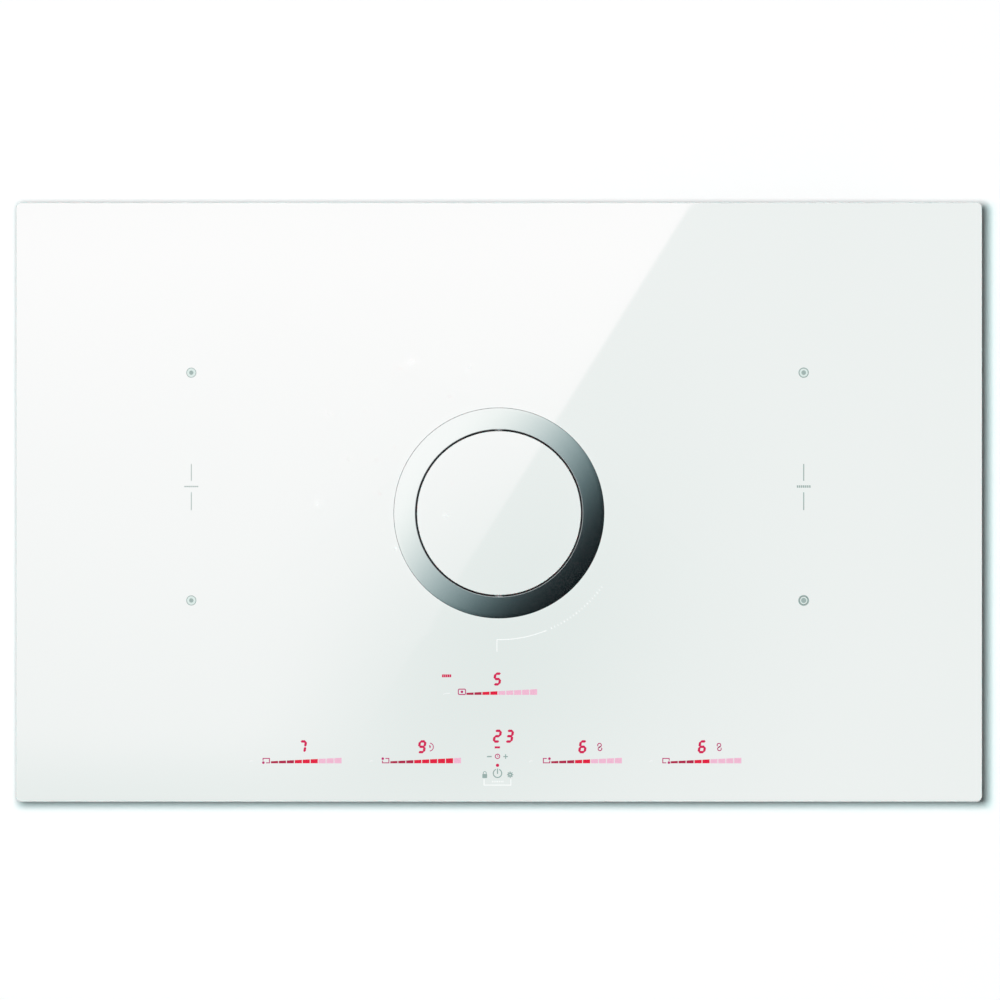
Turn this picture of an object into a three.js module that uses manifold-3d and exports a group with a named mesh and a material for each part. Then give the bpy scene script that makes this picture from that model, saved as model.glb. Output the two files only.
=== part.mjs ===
// Downdraft induction cooktop: a glass-ceramic hob with four induction zones and, in its middle, a steel
// ring with a tilting glass flap. Air drawn through the ring passes a lift-out grease filter, an air box
// and a centrifugal fan, and leaves through a rectangular duct spigot at the back.
//
// Millimetres, +Z up, +X to the right and +Y to the back as the cook sees it. The origin is the middle of
// the flat underside.

import * as THREE from "three";
import { mergeVertices } from "three/addons/utils/BufferGeometryUtils.js";
import Module from "manifold-3d";

const wasm = await Module();
wasm.setup();

// ------------------------------------------------------------------------------ driving dimensions

const SEAT_GAP = 0.3; // clearance between two pieces that seat on or in each other
const HOLE_MARGIN = 1; // a hole in sheet or moulding over what passes through it
const OVERRUN = 1; // how far a cutting tool runs past the faces that it cuts
const ROOT = 0.5; // how far a rib, boss or foot runs into the body that it grows from

// glass top
const GLASS_WIDTH = 830;
const GLASS_DEPTH = 515;
const GLASS_THICKNESS = 4;
const GLASS_CORNER = 5;
const GLASS_CHAMFER = 0.7;
const GLASS_SURFACE = 212; // height of the cooking surface above the underside
const GLASS_HOLE_RADIUS = 80;
const EDGE_SEAL_INSET = 4;
const EDGE_SEAL_WIDTH = 9;
const EDGE_SEAL_THICKNESS = 3;

// sheet-metal casing under the glass
const GLASS_OVERHANG_X = 27; // glass beyond the casing's sides
const GLASS_OVERHANG_Y = 14.5; // glass beyond the casing's front and back
const CASING_HEIGHT = 57.4;
const CASING_CORNER = 12;
const CASING_LIP = 3;
const SHEET = 1.2;
const VENT_WIDTH = 6;
const VENT_HEIGHT = 22;
const VENT_PITCH = 22;
const VENTS_PER_ROW = 4;

// intake in the middle of the glass
const INTAKE_Y = -9.5;
const RING_OUTER_RADIUS = 90.5;
const RING_INNER_RADIUS = 72;
const RING_EDGE_HEIGHT = 1.4; // above the glass at the rim
const RING_CREST_HEIGHT = 3.3; // above the glass at the inner crest
const RING_INNER_CHAMFER = 0.9;
const RING_EDGE_CHAMFER = 0.4;
const RING_LIP_WIDTH = 1.5;
const GASKET_INNER_RADIUS = 82;
const GASKET_TO_LIP = 0.5;
const GASKET_THICKNESS = 0.7;
const FRAME_CLEARANCE = 0.4; // the frame's bore over the ring's
const FRAME_WALL = 2.8;
const FRAME_DEPTH = 22;
const FRAME_FLANGE_DROP = 1.5;
const FRAME_TO_GLASS = 0.8; // around the frame's flange in the glass
const STOP_LEDGE_WIDTH = 6;
const STOP_LEDGE_THICKNESS = 2;
const STOP_LEDGE_SWEEP = 130; // degrees, on the half of the flap that rises

// tilting flap
const FLAP_GAP = 1.2; // visible gap between flap and ring
const FLAP_THICKNESS = 4;
const FLAP_RISE = 1.5; // flap surface above the cooking surface
const FLAP_CHAMFER = 0.6;
const FLAP_PLATE_MARGIN = 7; // glass beyond its backing plate
const FLAP_PLATE_THICKNESS = 2;
const FLAP_RIB_HEIGHT = 2.4;
const FLAP_RIB_THICKNESS = 1.6;
const FLAP_RIB_MARGIN = 3; // plate beyond the ribs' ends
const FLAP_RIB_RADIUS = 40;
const FLAP_RIBS = 6;
const SPINE_WIDTH = 12;
const SPINE_WALL = 2; // under the pins
const SPINE_TO_BUSH = 2;
const PIVOT_DROP = 6.3; // hinge axis below the cooking surface
const PIN_RADIUS = 2;
const PIN_LENGTH = 18;
const PIN_INSET = 0.4; // pin's end inside the frame's outer face
const BUSH_WALL = 0.9;
const BUSH_FLANGE_RADIUS = 3.8;
const BUSH_FLANGE_THICKNESS = 0.8;

// intake well and lift-out grease filter
const WELL_WALL = 2.5;
const WELL_CLEARANCE = 1.3; // around the frame's skirt
const WELL_TOP_FLANGE = 13;
const WELL_MID_FLANGE = 9;
const WELL_FLANGE_THICKNESS = 2;
const FILTER_SEAT_DROP = 82; // ledge below the cooking surface
const FILTER_LEDGE_WIDTH = 6.5;
const FILTER_LEDGE_THICKNESS = 3;
const FILTER_CLEARANCE = 4; // between basket and ledge, room for the drip cup
const FILTER_WALL = 1.5;
const FILTER_HEIGHT = 82;
const FILTER_RIM_THICKNESS = 2.5;
const FILTER_RIM_CLEARANCE = 1.5; // around the rim in the well
const FILTER_COLLAR_HEIGHT = 8;
const FILTER_COLLAR_WALL = 2;
const FILTER_SLOTS = 12;
const FILTER_SLOT_ROWS = 2;
const FILTER_SLOT_WIDTH = 14;
const FILTER_SLOT_HEIGHT = 22;
const FILTER_SLOT_PITCH = 27;
const DRIP_CUP_WALL = 2;
const DRIP_CUP_DEPTH = 14;
const DRIP_CUP_CHAMFER = 3;
const HANDLE_HEIGHT = 35;
const HANDLE_WIDTH = 10;
const HANDLE_THICKNESS = 3;
const HANDLE_CORNER = 12;

// air box
const PLASTIC_WALL = 2.5;
const AIR_BOX_WIDTH = 216;
const AIR_BOX_DEPTH = 280;
const AIR_BOX_X = -10;
const AIR_BOX_Y = -10;
const AIR_BOX_CORNER = 30;
const AIR_BOX_COVER_DEPTH = 52;
const DUCT_REACH = 116; // half width of the duct over the fan
const DUCT_CORNER = 40;
const RIM_BAND_REACH = 1.6; // raised bands beside the joint of base and cover
const RIM_BAND_HEIGHT = 3;
const RIM_BAND_DROP = 3; // lower band below the base's rim
const WALL_RIB_REACH = 1.3;
const WALL_RIB_THICKNESS = 2;
const WALL_RIB_PITCH = 22;
const WALL_RIB_TO_CORNER = 4;
const WALL_RIB_TO_FLOOR = 12;
const WALL_RIB_TO_TOP = 5;
const SNAP_WIDTH = 15; // hooks of the cover, over lugs of the base
const SNAP_THICKNESS = 2.4;
const SNAP_DROP = 14; // below the base's rim
const SNAP_RISE = 8; // above it
const SNAP_WINDOW_EDGE = 3; // hook around its window
const SNAP_WINDOW_HEIGHT = 4.5;
const SNAP_PLAY = 0.5; // around the lug in the window
const SNAP_LUG_PROUD = 0.8; // of the hook
const SNAP_TO_BAND = 1; // beside the hook in the base's band
const DRAIN_Y = -105;
const DRAIN_RECESS_RADIUS = 24;
const DRAIN_RECESS_DEPTH = 12;
const DRAIN_HOLE_RADIUS = 10;
const DRAIN_CAP_RADIUS = 17;
const DRAIN_CAP_THICKNESS = 3;
const DRAIN_GRIP_HEIGHT = 6;
const DRAIN_GRIP_THICKNESS = 4;
const DRAIN_GRIP_MARGIN = 3;
const DRAIN_PLUG_REACH = 1; // plug above the recess's roof
const DRAIN_SEAL_HEIGHT = 1.6;
const DRAIN_SEAL_MARGIN = 1;

// centrifugal fan
const FAN_Y = -20;
const SCROLL_TO_AIR_BOX = 9;
const SCROLL_START_RADIUS = 86;
const SCROLL_END_RADIUS = 136;
const TONGUE_ANGLE = 65; // degrees, counted from +X towards +Y
const SCROLL_COVER_THICKNESS = 2.2;
const SCROLL_FLANGE_REACH = 5.5;
const SCROLL_FLANGE_THICKNESS = 2.8;
const SCROLL_RIB_REACH = 1.4;
const SCROLL_RIB_THICKNESS = 2;
const SCROLL_RIBS = 2;
const SCROLL_BOSS_RADIUS = 3; // for the cover's screws, under the flange
const SCROLL_BOSS_LENGTH = 18;
const SCROLL_BOSSES = 6; // round the spiral
const DIFFUSER_BOSSES = [0.3, 0.62, 0.94]; // shares of the way to the outlet
const EYE_RADIUS = 60;
const BELLMOUTH_CURL = 12;
const IMPELLER_RADIUS = 76;
const IMPELLER_INNER_RADIUS = 60;
const IMPELLER_LOW = 10;
const IMPELLER_HEIGHT = 68;
const IMPELLER_BLADES = 16;
const IMPELLER_BLADE_THICKNESS = 1.2;
const IMPELLER_BLADE_LEAD = 13; // degrees that a blade's outer edge leads its inner edge
const IMPELLER_BLADE_INSET = 0.6; // blades inside the plate's rim
const IMPELLER_PLATE = 2;
const IMPELLER_SHROUD_WIDTH = 10;
const IMPELLER_CUP_RISE = 10; // room over the motor for the hub
const IMPELLER_HUB_LENGTH = 12;
const IMPELLER_HUB_WALL = 6;
const MOTOR_RADIUS = 41;
const MOTOR_HEIGHT = 45;
const MOTOR_AIR_GAP = 4;
const MOTOR_SHOULDER = 9;
const MOTOR_FOOT_WIDTH = 2;
const MOTOR_FOOT_THICKNESS = 4;
const SHAFT_RADIUS = 4;
const SHAFT_INSET = 1; // shaft's end below the top of the cup
const SHAFT_FOOT = 2; // shaft's lower end above the motor's foot

// outlet spigot, for flat duct
const OUTLET_WIDTH = 218;
const OUTLET_HEIGHT = 85;
const OUTLET_TO_BACK = 18; // scroll's mouth inside the casing's back
const OUTLET_SPIGOT_LENGTH = 25;
const OUTLET_FLANGE_MARGIN = 6;
const OUTLET_FLANGE_THICKNESS = 3;

// induction zones
const COILS_TO_TOUCH = 9; // coil plates behind the touch controls
const COILS_TO_BACK = 30.8; // coil plates in front of the casing's back wall
const COILS_TO_SIDE = 12.8; // coil plates inside the casing's side wall
const COIL_WIDTH = 196;
const COIL_TURNS = 4;
const COIL_EYE = 17; // half the depth of the hole in the winding
const COIL_WIRE_WIDTH = 11;
const COIL_WIRE_HEIGHT = 4;
const COIL_SQUARENESS = 3.4; // exponent of the turns' superellipse
const COIL_STEPS = 12; // per turn
const FORMER_MARGIN = 5;
const FORMER_GAP = 10; // between the two formers on one plate
const FORMER_CORNER = 60;
const FORMER_THICKNESS = 1.8;
const FERRITE_START = 20; // from the middle of the coil
const FERRITE_LENGTH = 62;
const FERRITE_WIDTH = 14;
const FERRITE_THICKNESS = 2.4;
const FERRITES = 6;
const SENSOR_RADIUS = 6;
const SENSOR_STEP = 2; // the probe's head is this much narrower
const COIL_PLATE_MARGIN_X = 8;
const COIL_PLATE_MARGIN_Y = 7;
const COIL_PLATE_THICKNESS = 1.5;
const COIL_PLATE_FOOT = 20;
const GLASS_TO_COIL = 1.9;

// power electronics
const BOARD_WIDTH = 190;
const BOARD_DEPTH = 200;
const BOARD_FORWARD = 63; // in front of the coil plate's middle
const BOARD_THICKNESS = 1.6;
const BOARD_STANDOFF = 8;
const BOARD_POST_RADIUS = 3.5;
const BOARD_POST_INSET = 8;
const CAPACITOR_RADIUS = 11;
const CAPACITOR_HEIGHT = 26;
const CAPACITORS = [
  [-55, -75],
  [-55, -48],
];
const CHOKE = [38, 38, 22];
const CHOKE_AT = [-59, 19];
const RELAY = [28, 16, 16];
const RELAYS = [
  [-66, 60],
  [-66, 82],
];
const SOCKET = [50, 14, 9];
const SOCKET_AT = [5, -85];
const SINK_AT = [40, 30]; // on the board
const SINK_WIDTH = 64;
const SINK_LENGTH = 110;
const SINK_HEIGHT = 28;
const SINK_BASE = 4;
const SINK_FINS = 9;
const SINK_FIN_THICKNESS = 2;
const COOLING_FAN_OUTBOARD = 37; // from the coil plate's middle
const COOLING_FAN_TO_BACK = 36.8; // inside the casing's back wall
const COOLING_FAN_SIZE = 80;
const COOLING_FAN_CORNER = 4;
const COOLING_FAN_THICKNESS = 20;
const COOLING_FAN_BORE_RADIUS = 37.5;
const COOLING_FAN_HUB_RADIUS = 15;
const COOLING_FAN_HUB_PLATE = 2.5;
const COOLING_FAN_STRUT_WIDTH = 3;
const COOLING_FAN_BLADES = 5;
const COOLING_FAN_BLADE_CHORD = 17;
const COOLING_FAN_BLADE_THICKNESS = 1.4;
const COOLING_FAN_BLADE_PITCH = 38; // degrees
const COOLING_FAN_TIP_GAP = 1.2;
const COOLING_FAN_FACE_GAP = 1; // rotor below the frame's upper face
const SPINDLE_RADIUS = 2.5;
const SPINDLE_DROP = 5; // spindle's end below the frame's upper face
const GRILLE_MARGIN = 2;
const GRILLE_SLOTS = 5;
const GRILLE_SLOT_WIDTH = 7;

// touch controls behind the front edge of the glass
const TOUCH_WIDTH = 450;
const TOUCH_DEPTH = 45;
const TOUCH_TO_SEAL = 5.5; // behind the glass's edge seal
const TOUCH_STEM_WIDTH = 120;
const TOUCH_STEM_DEPTH = 44;
const TOUCH_HEIGHT = 12;
const TOUCH_WALL = 2;
const TOUCH_POST_RADIUS = 4;
const TOUCH_POST_INSET = 12;
const TOUCH_POST_SPACING = 80; // between the two middle posts
const TOUCH_LIGHT_WIDTH = 84;
const TOUCH_LIGHT_DEPTH = 16;
const TOUCH_LIGHT_X = [-169.5, -66.5, 71.5, 174.5];
const TOUCH_LIGHT_INSET = 41.5; // from the front edge of the glass
const TIMER_LIGHT_X = 2;
const TIMER_LIGHT_INSET = 45.5;
const TIMER_LIGHT_WIDTH = 34;
const TIMER_LIGHT_DEPTH = 24;
const HOOD_LIGHT_INSET = 94.5;

// mains terminal box, under the casing at the back left
const TERMINAL_TO_SIDE = 153; // inside the casing's left side
const TERMINAL_TO_BACK = 19; // inside the casing's back
const TERMINAL_WIDTH = 90;
const TERMINAL_DEPTH = 64;
const TERMINAL_HEIGHT = 38;
const TERMINAL_CORNER = 6;
const TERMINAL_TAB_WIDTH = 24;
const TERMINAL_TAB_REACH = 5;
const TERMINAL_BLOCK_WIDTH = 62;
const TERMINAL_BLOCK_DEPTH = 22;
const TERMINAL_BLOCK_HEIGHT = 16;
const TERMINAL_BLOCK_FORWARD = 8; // of the middle of the box
const TERMINAL_POLES = 5;
const TERMINAL_WELL_RADIUS = 3.2;
const TERMINAL_WELL_DEPTH = 9;
const WIRE_HOLE_RADIUS = 8;
const WIRE_HOLE_SETBACK = 16; // behind the middle of the terminal box
const GLAND_RADIUS = 10;
const GLAND_BORE_RADIUS = 5;
const GLAND_LENGTH = 20;
const GLAND_THREAD_RADIUS = 8;
const GLAND_THREAD_REACH = 4; // inside the box's wall
const GLAND_TO_COVER = 4;

// spring clips that grip the worktop cut-out
const CLIP_Y = 150;
const CLIP_WIDTH = 30;
const CLIP_THICKNESS = 1.2;
const CLIP_BULGE = 11;
const CLIP_DROP = 8; // top of the clip below the casing's rim
const CLIP_LENGTH = 42;
const CLIP_CURVE = [
  [0, 0],
  [0.03, 0.2],
  [0.7, 0.5],
  [1, 0.68],
  [0.75, 0.86],
  [0.3, 1],
]; // shares of the bulge and of the length

// ------------------------------------------------------------------------------ levels, places and fits

const radians = THREE.MathUtils.degToRad;

const glassUnder = GLASS_SURFACE - GLASS_THICKNESS;
const casingTop = glassUnder - SEAT_GAP;
const casingBottom = casingTop - CASING_HEIGHT;
const casingFloor = casingBottom + SHEET;
const coverTop = casingBottom - SEAT_GAP;
const coverBottom = coverTop - AIR_BOX_COVER_DEPTH;
const airBoxRim = coverBottom - SEAT_GAP;
const scrollRim = airBoxRim - SCROLL_COVER_THICKNESS - SEAT_GAP;

const flapRadius = RING_INNER_RADIUS - FLAP_GAP;
const frameInner = RING_INNER_RADIUS + FRAME_CLEARANCE;
const frameOuter = frameInner + FRAME_WALL;
const wellInner = frameOuter + WELL_CLEARANCE;
const wellOuter = wellInner + WELL_WALL;
const ledgeInner = wellInner - FILTER_LEDGE_WIDTH;
const basketOuter = ledgeInner - FILTER_CLEARANCE;
const basketInner = basketOuter - FILTER_WALL;

const casingWidth = GLASS_WIDTH - 2 * GLASS_OVERHANG_X;
const casingDepth = GLASS_DEPTH - 2 * GLASS_OVERHANG_Y;
const casingSide = casingWidth / 2 - SHEET;
const casingBack = casingDepth / 2 - SHEET;

const glassFront = -GLASS_DEPTH / 2;
const touchFront = glassFront + EDGE_SEAL_INSET + EDGE_SEAL_WIDTH + TOUCH_TO_SEAL;
const touchBack = touchFront + TOUCH_DEPTH;

// The coil plates fill the casing behind the controls, and the coils fill the plates.
const formerWidth = COIL_WIDTH + 2 * FORMER_MARGIN;
const plateWidth = formerWidth + 2 * COIL_PLATE_MARGIN_X;
const plateFront = touchBack + COILS_TO_TOUCH;
const plateBack = casingBack - COILS_TO_BACK;
const plateDepth = plateBack - plateFront;
const formerDepth = (plateDepth - FORMER_GAP) / 2 - COIL_PLATE_MARGIN_Y;
const coilDepth = formerDepth - 2 * FORMER_MARGIN;
const coilPitch = (coilDepth / 2 - COIL_WIRE_WIDTH - COIL_EYE) / COIL_TURNS;
const zoneSpacing = formerDepth + FORMER_GAP;
const zoneX = casingSide - COILS_TO_SIDE - plateWidth / 2;
const zoneY = (plateFront + plateBack) / 2;

const coolingFanX = zoneX + COOLING_FAN_OUTBOARD;
const coolingFanY = casingBack - COOLING_FAN_TO_BACK - COOLING_FAN_SIZE / 2;
const terminalX = -(casingWidth / 2 - TERMINAL_TO_SIDE - TERMINAL_WIDTH / 2);
const terminalY = casingDepth / 2 - TERMINAL_TO_BACK - TERMINAL_DEPTH / 2;

// The scroll widens from its tongue round to the outlet, and stands beside the air box.
const tongue = radians(TONGUE_ANGLE);
const scrollGrowth = (SCROLL_END_RADIUS - SCROLL_START_RADIUS) / (2 * Math.PI - tongue);
const scrollRadius = (angle) => SCROLL_START_RADIUS + scrollGrowth * Math.max(0, angle - tongue);
const airBoxRight = AIR_BOX_X + AIR_BOX_WIDTH / 2;
const fanX = airBoxRight + SCROLL_TO_AIR_BOX + PLASTIC_WALL + scrollRadius(Math.PI);

// ------------------------------------------------------------------------------ materials

const finish = (color, roughness, metalness) => () =>
  new THREE.MeshStandardMaterial({ color, roughness, metalness });
const whiteGlass = finish(0xeef2f1, 0.06, 0);
const steel = finish(0xb9c2c6, 0.22, 1);
const stainless = finish(0xa9adb0, 0.35, 1);
const zincSheet = finish(0x9aa0a4, 0.45, 0.9);
const aluminium = finish(0xc4c7ca, 0.4, 0.9);
const blackPlastic = finish(0x16181a, 0.5, 0);
const greyPlastic = finish(0x5b6064, 0.6, 0);
const paleGrey = finish(0xa5abae, 0.5, 0);
const foam = finish(0x202224, 0.9, 0);
const silicone = finish(0xb8bcbd, 0.6, 0);
const copper = finish(0xb06a3c, 0.45, 0.8);
const circuitBoard = finish(0x1f5a38, 0.5, 0);

// ------------------------------------------------------------------------------ making solids

// A closed geometry, its shared corners merged, as a solid that can be cut and joined.
function solid(geometry) {
  if (!geometry.isBufferGeometry) return geometry;
  const bare = new THREE.BufferGeometry();
  bare.setAttribute("position", geometry.getAttribute("position"));
  bare.setIndex(geometry.index);
  const merged = mergeVertices(bare, 1e-4);
  const faces = [];
  for (let i = 0; i < merged.index.count; i += 3) {
    const corners = [0, 1, 2].map((k) => merged.index.getX(i + k));
    if (new Set(corners).size === 3) faces.push(...corners);
  }
  return new wasm.Manifold(
    new wasm.Mesh({
      numProp: 3,
      vertProperties: new Float32Array(merged.attributes.position.array),
      triVerts: new Uint32Array(faces),
    }),
  );
}

const join = (...pieces) => pieces.map(solid).reduce((whole, piece) => whole.add(piece));
const cut = (whole, ...tools) => tools.map(solid).reduce((rest, tool) => rest.subtract(tool), solid(whole));

// A solid as a geometry with flat-shaded faces.
function geometryOf(piece) {
  const mesh = solid(piece).getMesh();
  const geometry = new THREE.BufferGeometry();
  geometry.setAttribute("position", new THREE.BufferAttribute(mesh.vertProperties, mesh.numProp));
  geometry.setIndex(new THREE.BufferAttribute(mesh.triVerts, 1));
  const flat = geometry.toNonIndexed();
  flat.computeVertexNormals();
  return flat;
}

function add(group, name, piece, material, x = 0, y = 0, z = 0) {
  const mesh = new THREE.Mesh(geometryOf(piece), material());
  mesh.name = name;
  mesh.position.set(x, y, z);
  group.add(mesh);
  return mesh;
}

function assembly(x = 0, y = 0, z = 0) {
  const group = new THREE.Group();
  group.position.set(x, y, z);
  cooktop.add(group);
  return group;
}

function roundedRect(width, depth, radius, x = 0, y = 0) {
  const right = x + width / 2 - radius;
  const left = x - width / 2 + radius;
  const back = y + depth / 2 - radius;
  const front = y - depth / 2 + radius;
  const shape = new THREE.Shape();
  shape.absarc(right, back, radius, 0, Math.PI / 2);
  shape.absarc(left, back, radius, Math.PI / 2, Math.PI);
  shape.absarc(left, front, radius, Math.PI, 1.5 * Math.PI);
  shape.absarc(right, front, radius, 1.5 * Math.PI, 2 * Math.PI);
  shape.closePath();
  return shape;
}

const polygon = (points) => new THREE.Shape(points.map(([x, y]) => new THREE.Vector2(x, y)));

// A plan shape pulled up from one height to another.
function prism(shape, low, high, curveSegments = 2) {
  const settings = { depth: high - low, bevelEnabled: false, curveSegments };
  return new THREE.ExtrudeGeometry(shape, settings).translate(0, 0, low);
}

// A slab whose upper and lower edges are chamfered.
function chamferedSlab(shape, low, high, chamfer) {
  const settings = {
    depth: high - low - 2 * chamfer,
    bevelThickness: chamfer,
    bevelSize: chamfer,
    bevelOffset: -chamfer,
    bevelSegments: 1,
    curveSegments: 2,
  };
  return new THREE.ExtrudeGeometry(shape, settings).translate(0, 0, low + chamfer);
}

function box(x0, x1, y0, y1, z0, z1) {
  const geometry = new THREE.BoxGeometry(x1 - x0, y1 - y0, z1 - z0);
  return geometry.translate((x0 + x1) / 2, (y0 + y1) / 2, (z0 + z1) / 2);
}

// A profile of [radius, height] points, counter-clockwise, turned about +Z.
function revolve(profile, segments = 24) {
  const points = [...profile, profile[0]].map(([r, z]) => new THREE.Vector2(r, z));
  return new THREE.LatheGeometry(points, segments).rotateX(Math.PI / 2);
}

function rod(radius, low, high, segments = 12) {
  const profile = [
    [0, low],
    [radius, low],
    [radius, high],
    [0, high],
  ];
  return revolve(profile, segments);
}

const tube = (inner, outer, low, high, segments = 24) =>
  revolve(
    [
      [inner, low],
      [outer, low],
      [outer, high],
      [inner, high],
    ],
    segments,
  );

// Turns a geometry built along +Z to lie along +Y or +X.
const alongY = (geometry) => geometry.rotateX(-Math.PI / 2);
const alongX = (geometry) => geometry.rotateY(Math.PI / 2);

// Evenly spaced places, centred on zero.
const spread = (count, pitch) => Array.from({ length: count }, (_, i) => (i - (count - 1) / 2) * pitch);
const turns = (count) => Array.from({ length: count }, (_, i) => (i * 2 * Math.PI) / count);
const cooktop = new THREE.Group();
cooktop.name = "downdraft_induction_cooktop";

// ------------------------------------------------------------------------------ glass and seal

function glassTop() {
  const outline = roundedRect(GLASS_WIDTH, GLASS_DEPTH, GLASS_CORNER);
  const slab = chamferedSlab(outline, glassUnder, GLASS_SURFACE, GLASS_CHAMFER);
  const flare = GLASS_CHAMFER + OVERRUN;
  const hole = revolve(
    [
      [0, glassUnder - OVERRUN],
      [GLASS_HOLE_RADIUS, glassUnder - OVERRUN],
      [GLASS_HOLE_RADIUS, GLASS_SURFACE - GLASS_CHAMFER],
      [GLASS_HOLE_RADIUS + flare, GLASS_SURFACE + OVERRUN],
      [0, GLASS_SURFACE + OVERRUN],
    ],
    32,
  );
  return cut(slab, hole.translate(0, INTAKE_Y, 0));
}

function edgeSeal() {
  const high = glassUnder - SEAT_GAP;
  const low = high - EDGE_SEAL_THICKNESS;
  const width = GLASS_WIDTH - 2 * EDGE_SEAL_INSET;
  const depth = GLASS_DEPTH - 2 * EDGE_SEAL_INSET;
  const outer = prism(roundedRect(width, depth, GLASS_CORNER), low, high);
  const innerWidth = width - 2 * EDGE_SEAL_WIDTH;
  const innerDepth = depth - 2 * EDGE_SEAL_WIDTH;
  const inner = roundedRect(innerWidth, innerDepth, GLASS_CORNER);
  return cut(outer, prism(inner, low - OVERRUN, high + OVERRUN));
}

const top = assembly();
add(top, "glass_top", glassTop(), whiteGlass);
add(top, "edge_seal", edgeSeal(), foam);

// ------------------------------------------------------------------------------ casing

// One row of upright vents through a wall that runs along X.
function ventRow(x, y) {
  const middle = (casingBottom + casingTop) / 2;
  return spread(VENTS_PER_ROW, VENT_PITCH).map((step) =>
    box(
      x + step - VENT_WIDTH / 2,
      x + step + VENT_WIDTH / 2,
      y - 2 * SHEET,
      y + 2 * SHEET,
      middle - VENT_HEIGHT / 2,
      middle + VENT_HEIGHT / 2,
    ),
  );
}

// Parallel slots that fill a circle in the casing's floor under a cooling fan.
function grilleSlots(x) {
  const reach = COOLING_FAN_BORE_RADIUS - GRILLE_MARGIN;
  const pitch = (2 * reach) / GRILLE_SLOTS;
  return spread(GRILLE_SLOTS, pitch).map((step) => {
    const half = Math.sqrt(reach ** 2 - step ** 2);
    return box(
      x - half,
      x + half,
      coolingFanY + step - GRILLE_SLOT_WIDTH / 2,
      coolingFanY + step + GRILLE_SLOT_WIDTH / 2,
      casingBottom - OVERRUN,
      casingFloor + OVERRUN,
    );
  });
}

function casing() {
  const shape = (inset) =>
    roundedRect(casingWidth - 2 * inset, casingDepth - 2 * inset, CASING_CORNER - inset);
  const blank = prism(shape(0), casingBottom, casingTop);
  const hollow = prism(shape(SHEET), casingFloor, casingTop - SHEET);
  const mouth = prism(shape(CASING_LIP), casingTop - SHEET - OVERRUN, casingTop + OVERRUN);
  const floorHole = (radius) => rod(radius + HOLE_MARGIN, casingBottom - OVERRUN, casingFloor + OVERRUN, 24);
  const wellHole = floorHole(wellOuter).translate(0, INTAKE_Y, 0);
  const mainsHole = floorHole(WIRE_HOLE_RADIUS).translate(terminalX, terminalY + WIRE_HOLE_SETBACK, 0);
  const wallY = casingDepth / 2 - SHEET / 2;
  const vents = [-zoneX, zoneX].flatMap((x) => [...ventRow(x, wallY), ...ventRow(x, -wallY)]);
  const grilles = [...grilleSlots(-coolingFanX), ...grilleSlots(coolingFanX)];
  return cut(blank, hollow, mouth, wellHole, mainsHole, ...vents, ...grilles);
}

// A leaf spring, hooked on the casing's side wall and bowed outwards to grip the cut-out.
function clip() {
  const high = casingTop - CLIP_DROP;
  const wall = casingWidth / 2 + SEAT_GAP;
  const bends = CLIP_CURVE.map(
    ([out, down]) => new THREE.Vector3(wall + out * CLIP_BULGE, high - down * CLIP_LENGTH, 0),
  );
  const line = new THREE.CatmullRomCurve3(bends).getPoints(9);
  const inner = line.map((p) => [p.x, p.y]);
  const outer = line.map((p) => [p.x + CLIP_THICKNESS, p.y]).reverse();
  return prism(polygon([...inner, ...outer].reverse()), -CLIP_WIDTH / 2, CLIP_WIDTH / 2).rotateX(Math.PI / 2);
}

add(top, "casing_tray", casing(), zincSheet);
for (const [side, angle] of [
  ["right", 0],
  ["left", Math.PI],
]) {
  const pair = assembly();
  pair.rotation.z = angle;
  for (const [end, y] of [
    ["rear", CLIP_Y],
    ["front", -CLIP_Y],
  ])
    add(pair, `fixing_clip_${side}_${end}`, clip(), stainless, 0, Math.cos(angle) * y, 0);
}

// ------------------------------------------------------------------------------ intake ring and flap
// Heights in this assembly count from the cooking surface.

const intake = assembly(0, INTAKE_Y, GLASS_SURFACE);
const gasketTop = SEAT_GAP + GASKET_THICKNESS;
const frameTop = gasketTop;
const ringUnder = gasketTop + SEAT_GAP;
const lipInner = RING_OUTER_RADIUS - RING_LIP_WIDTH;
const flapUnder = FLAP_RISE - FLAP_THICKNESS;
const plateTop = flapUnder - SEAT_GAP;
const plateUnder = plateTop - FLAP_PLATE_THICKNESS;

function trimRing() {
  return revolve(
    [
      [RING_INNER_RADIUS, ringUnder],
      [lipInner, ringUnder],
      [lipInner, SEAT_GAP],
      [RING_OUTER_RADIUS - RING_EDGE_CHAMFER, SEAT_GAP],
      [RING_OUTER_RADIUS, SEAT_GAP + RING_EDGE_CHAMFER],
      [RING_OUTER_RADIUS, RING_EDGE_HEIGHT - RING_EDGE_CHAMFER],
      [RING_OUTER_RADIUS - RING_EDGE_CHAMFER, RING_EDGE_HEIGHT],
      [RING_INNER_RADIUS + RING_INNER_CHAMFER, RING_CREST_HEIGHT],
      [RING_INNER_RADIUS, RING_CREST_HEIGHT - RING_INNER_CHAMFER],
    ],
    32,
  );
}

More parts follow.
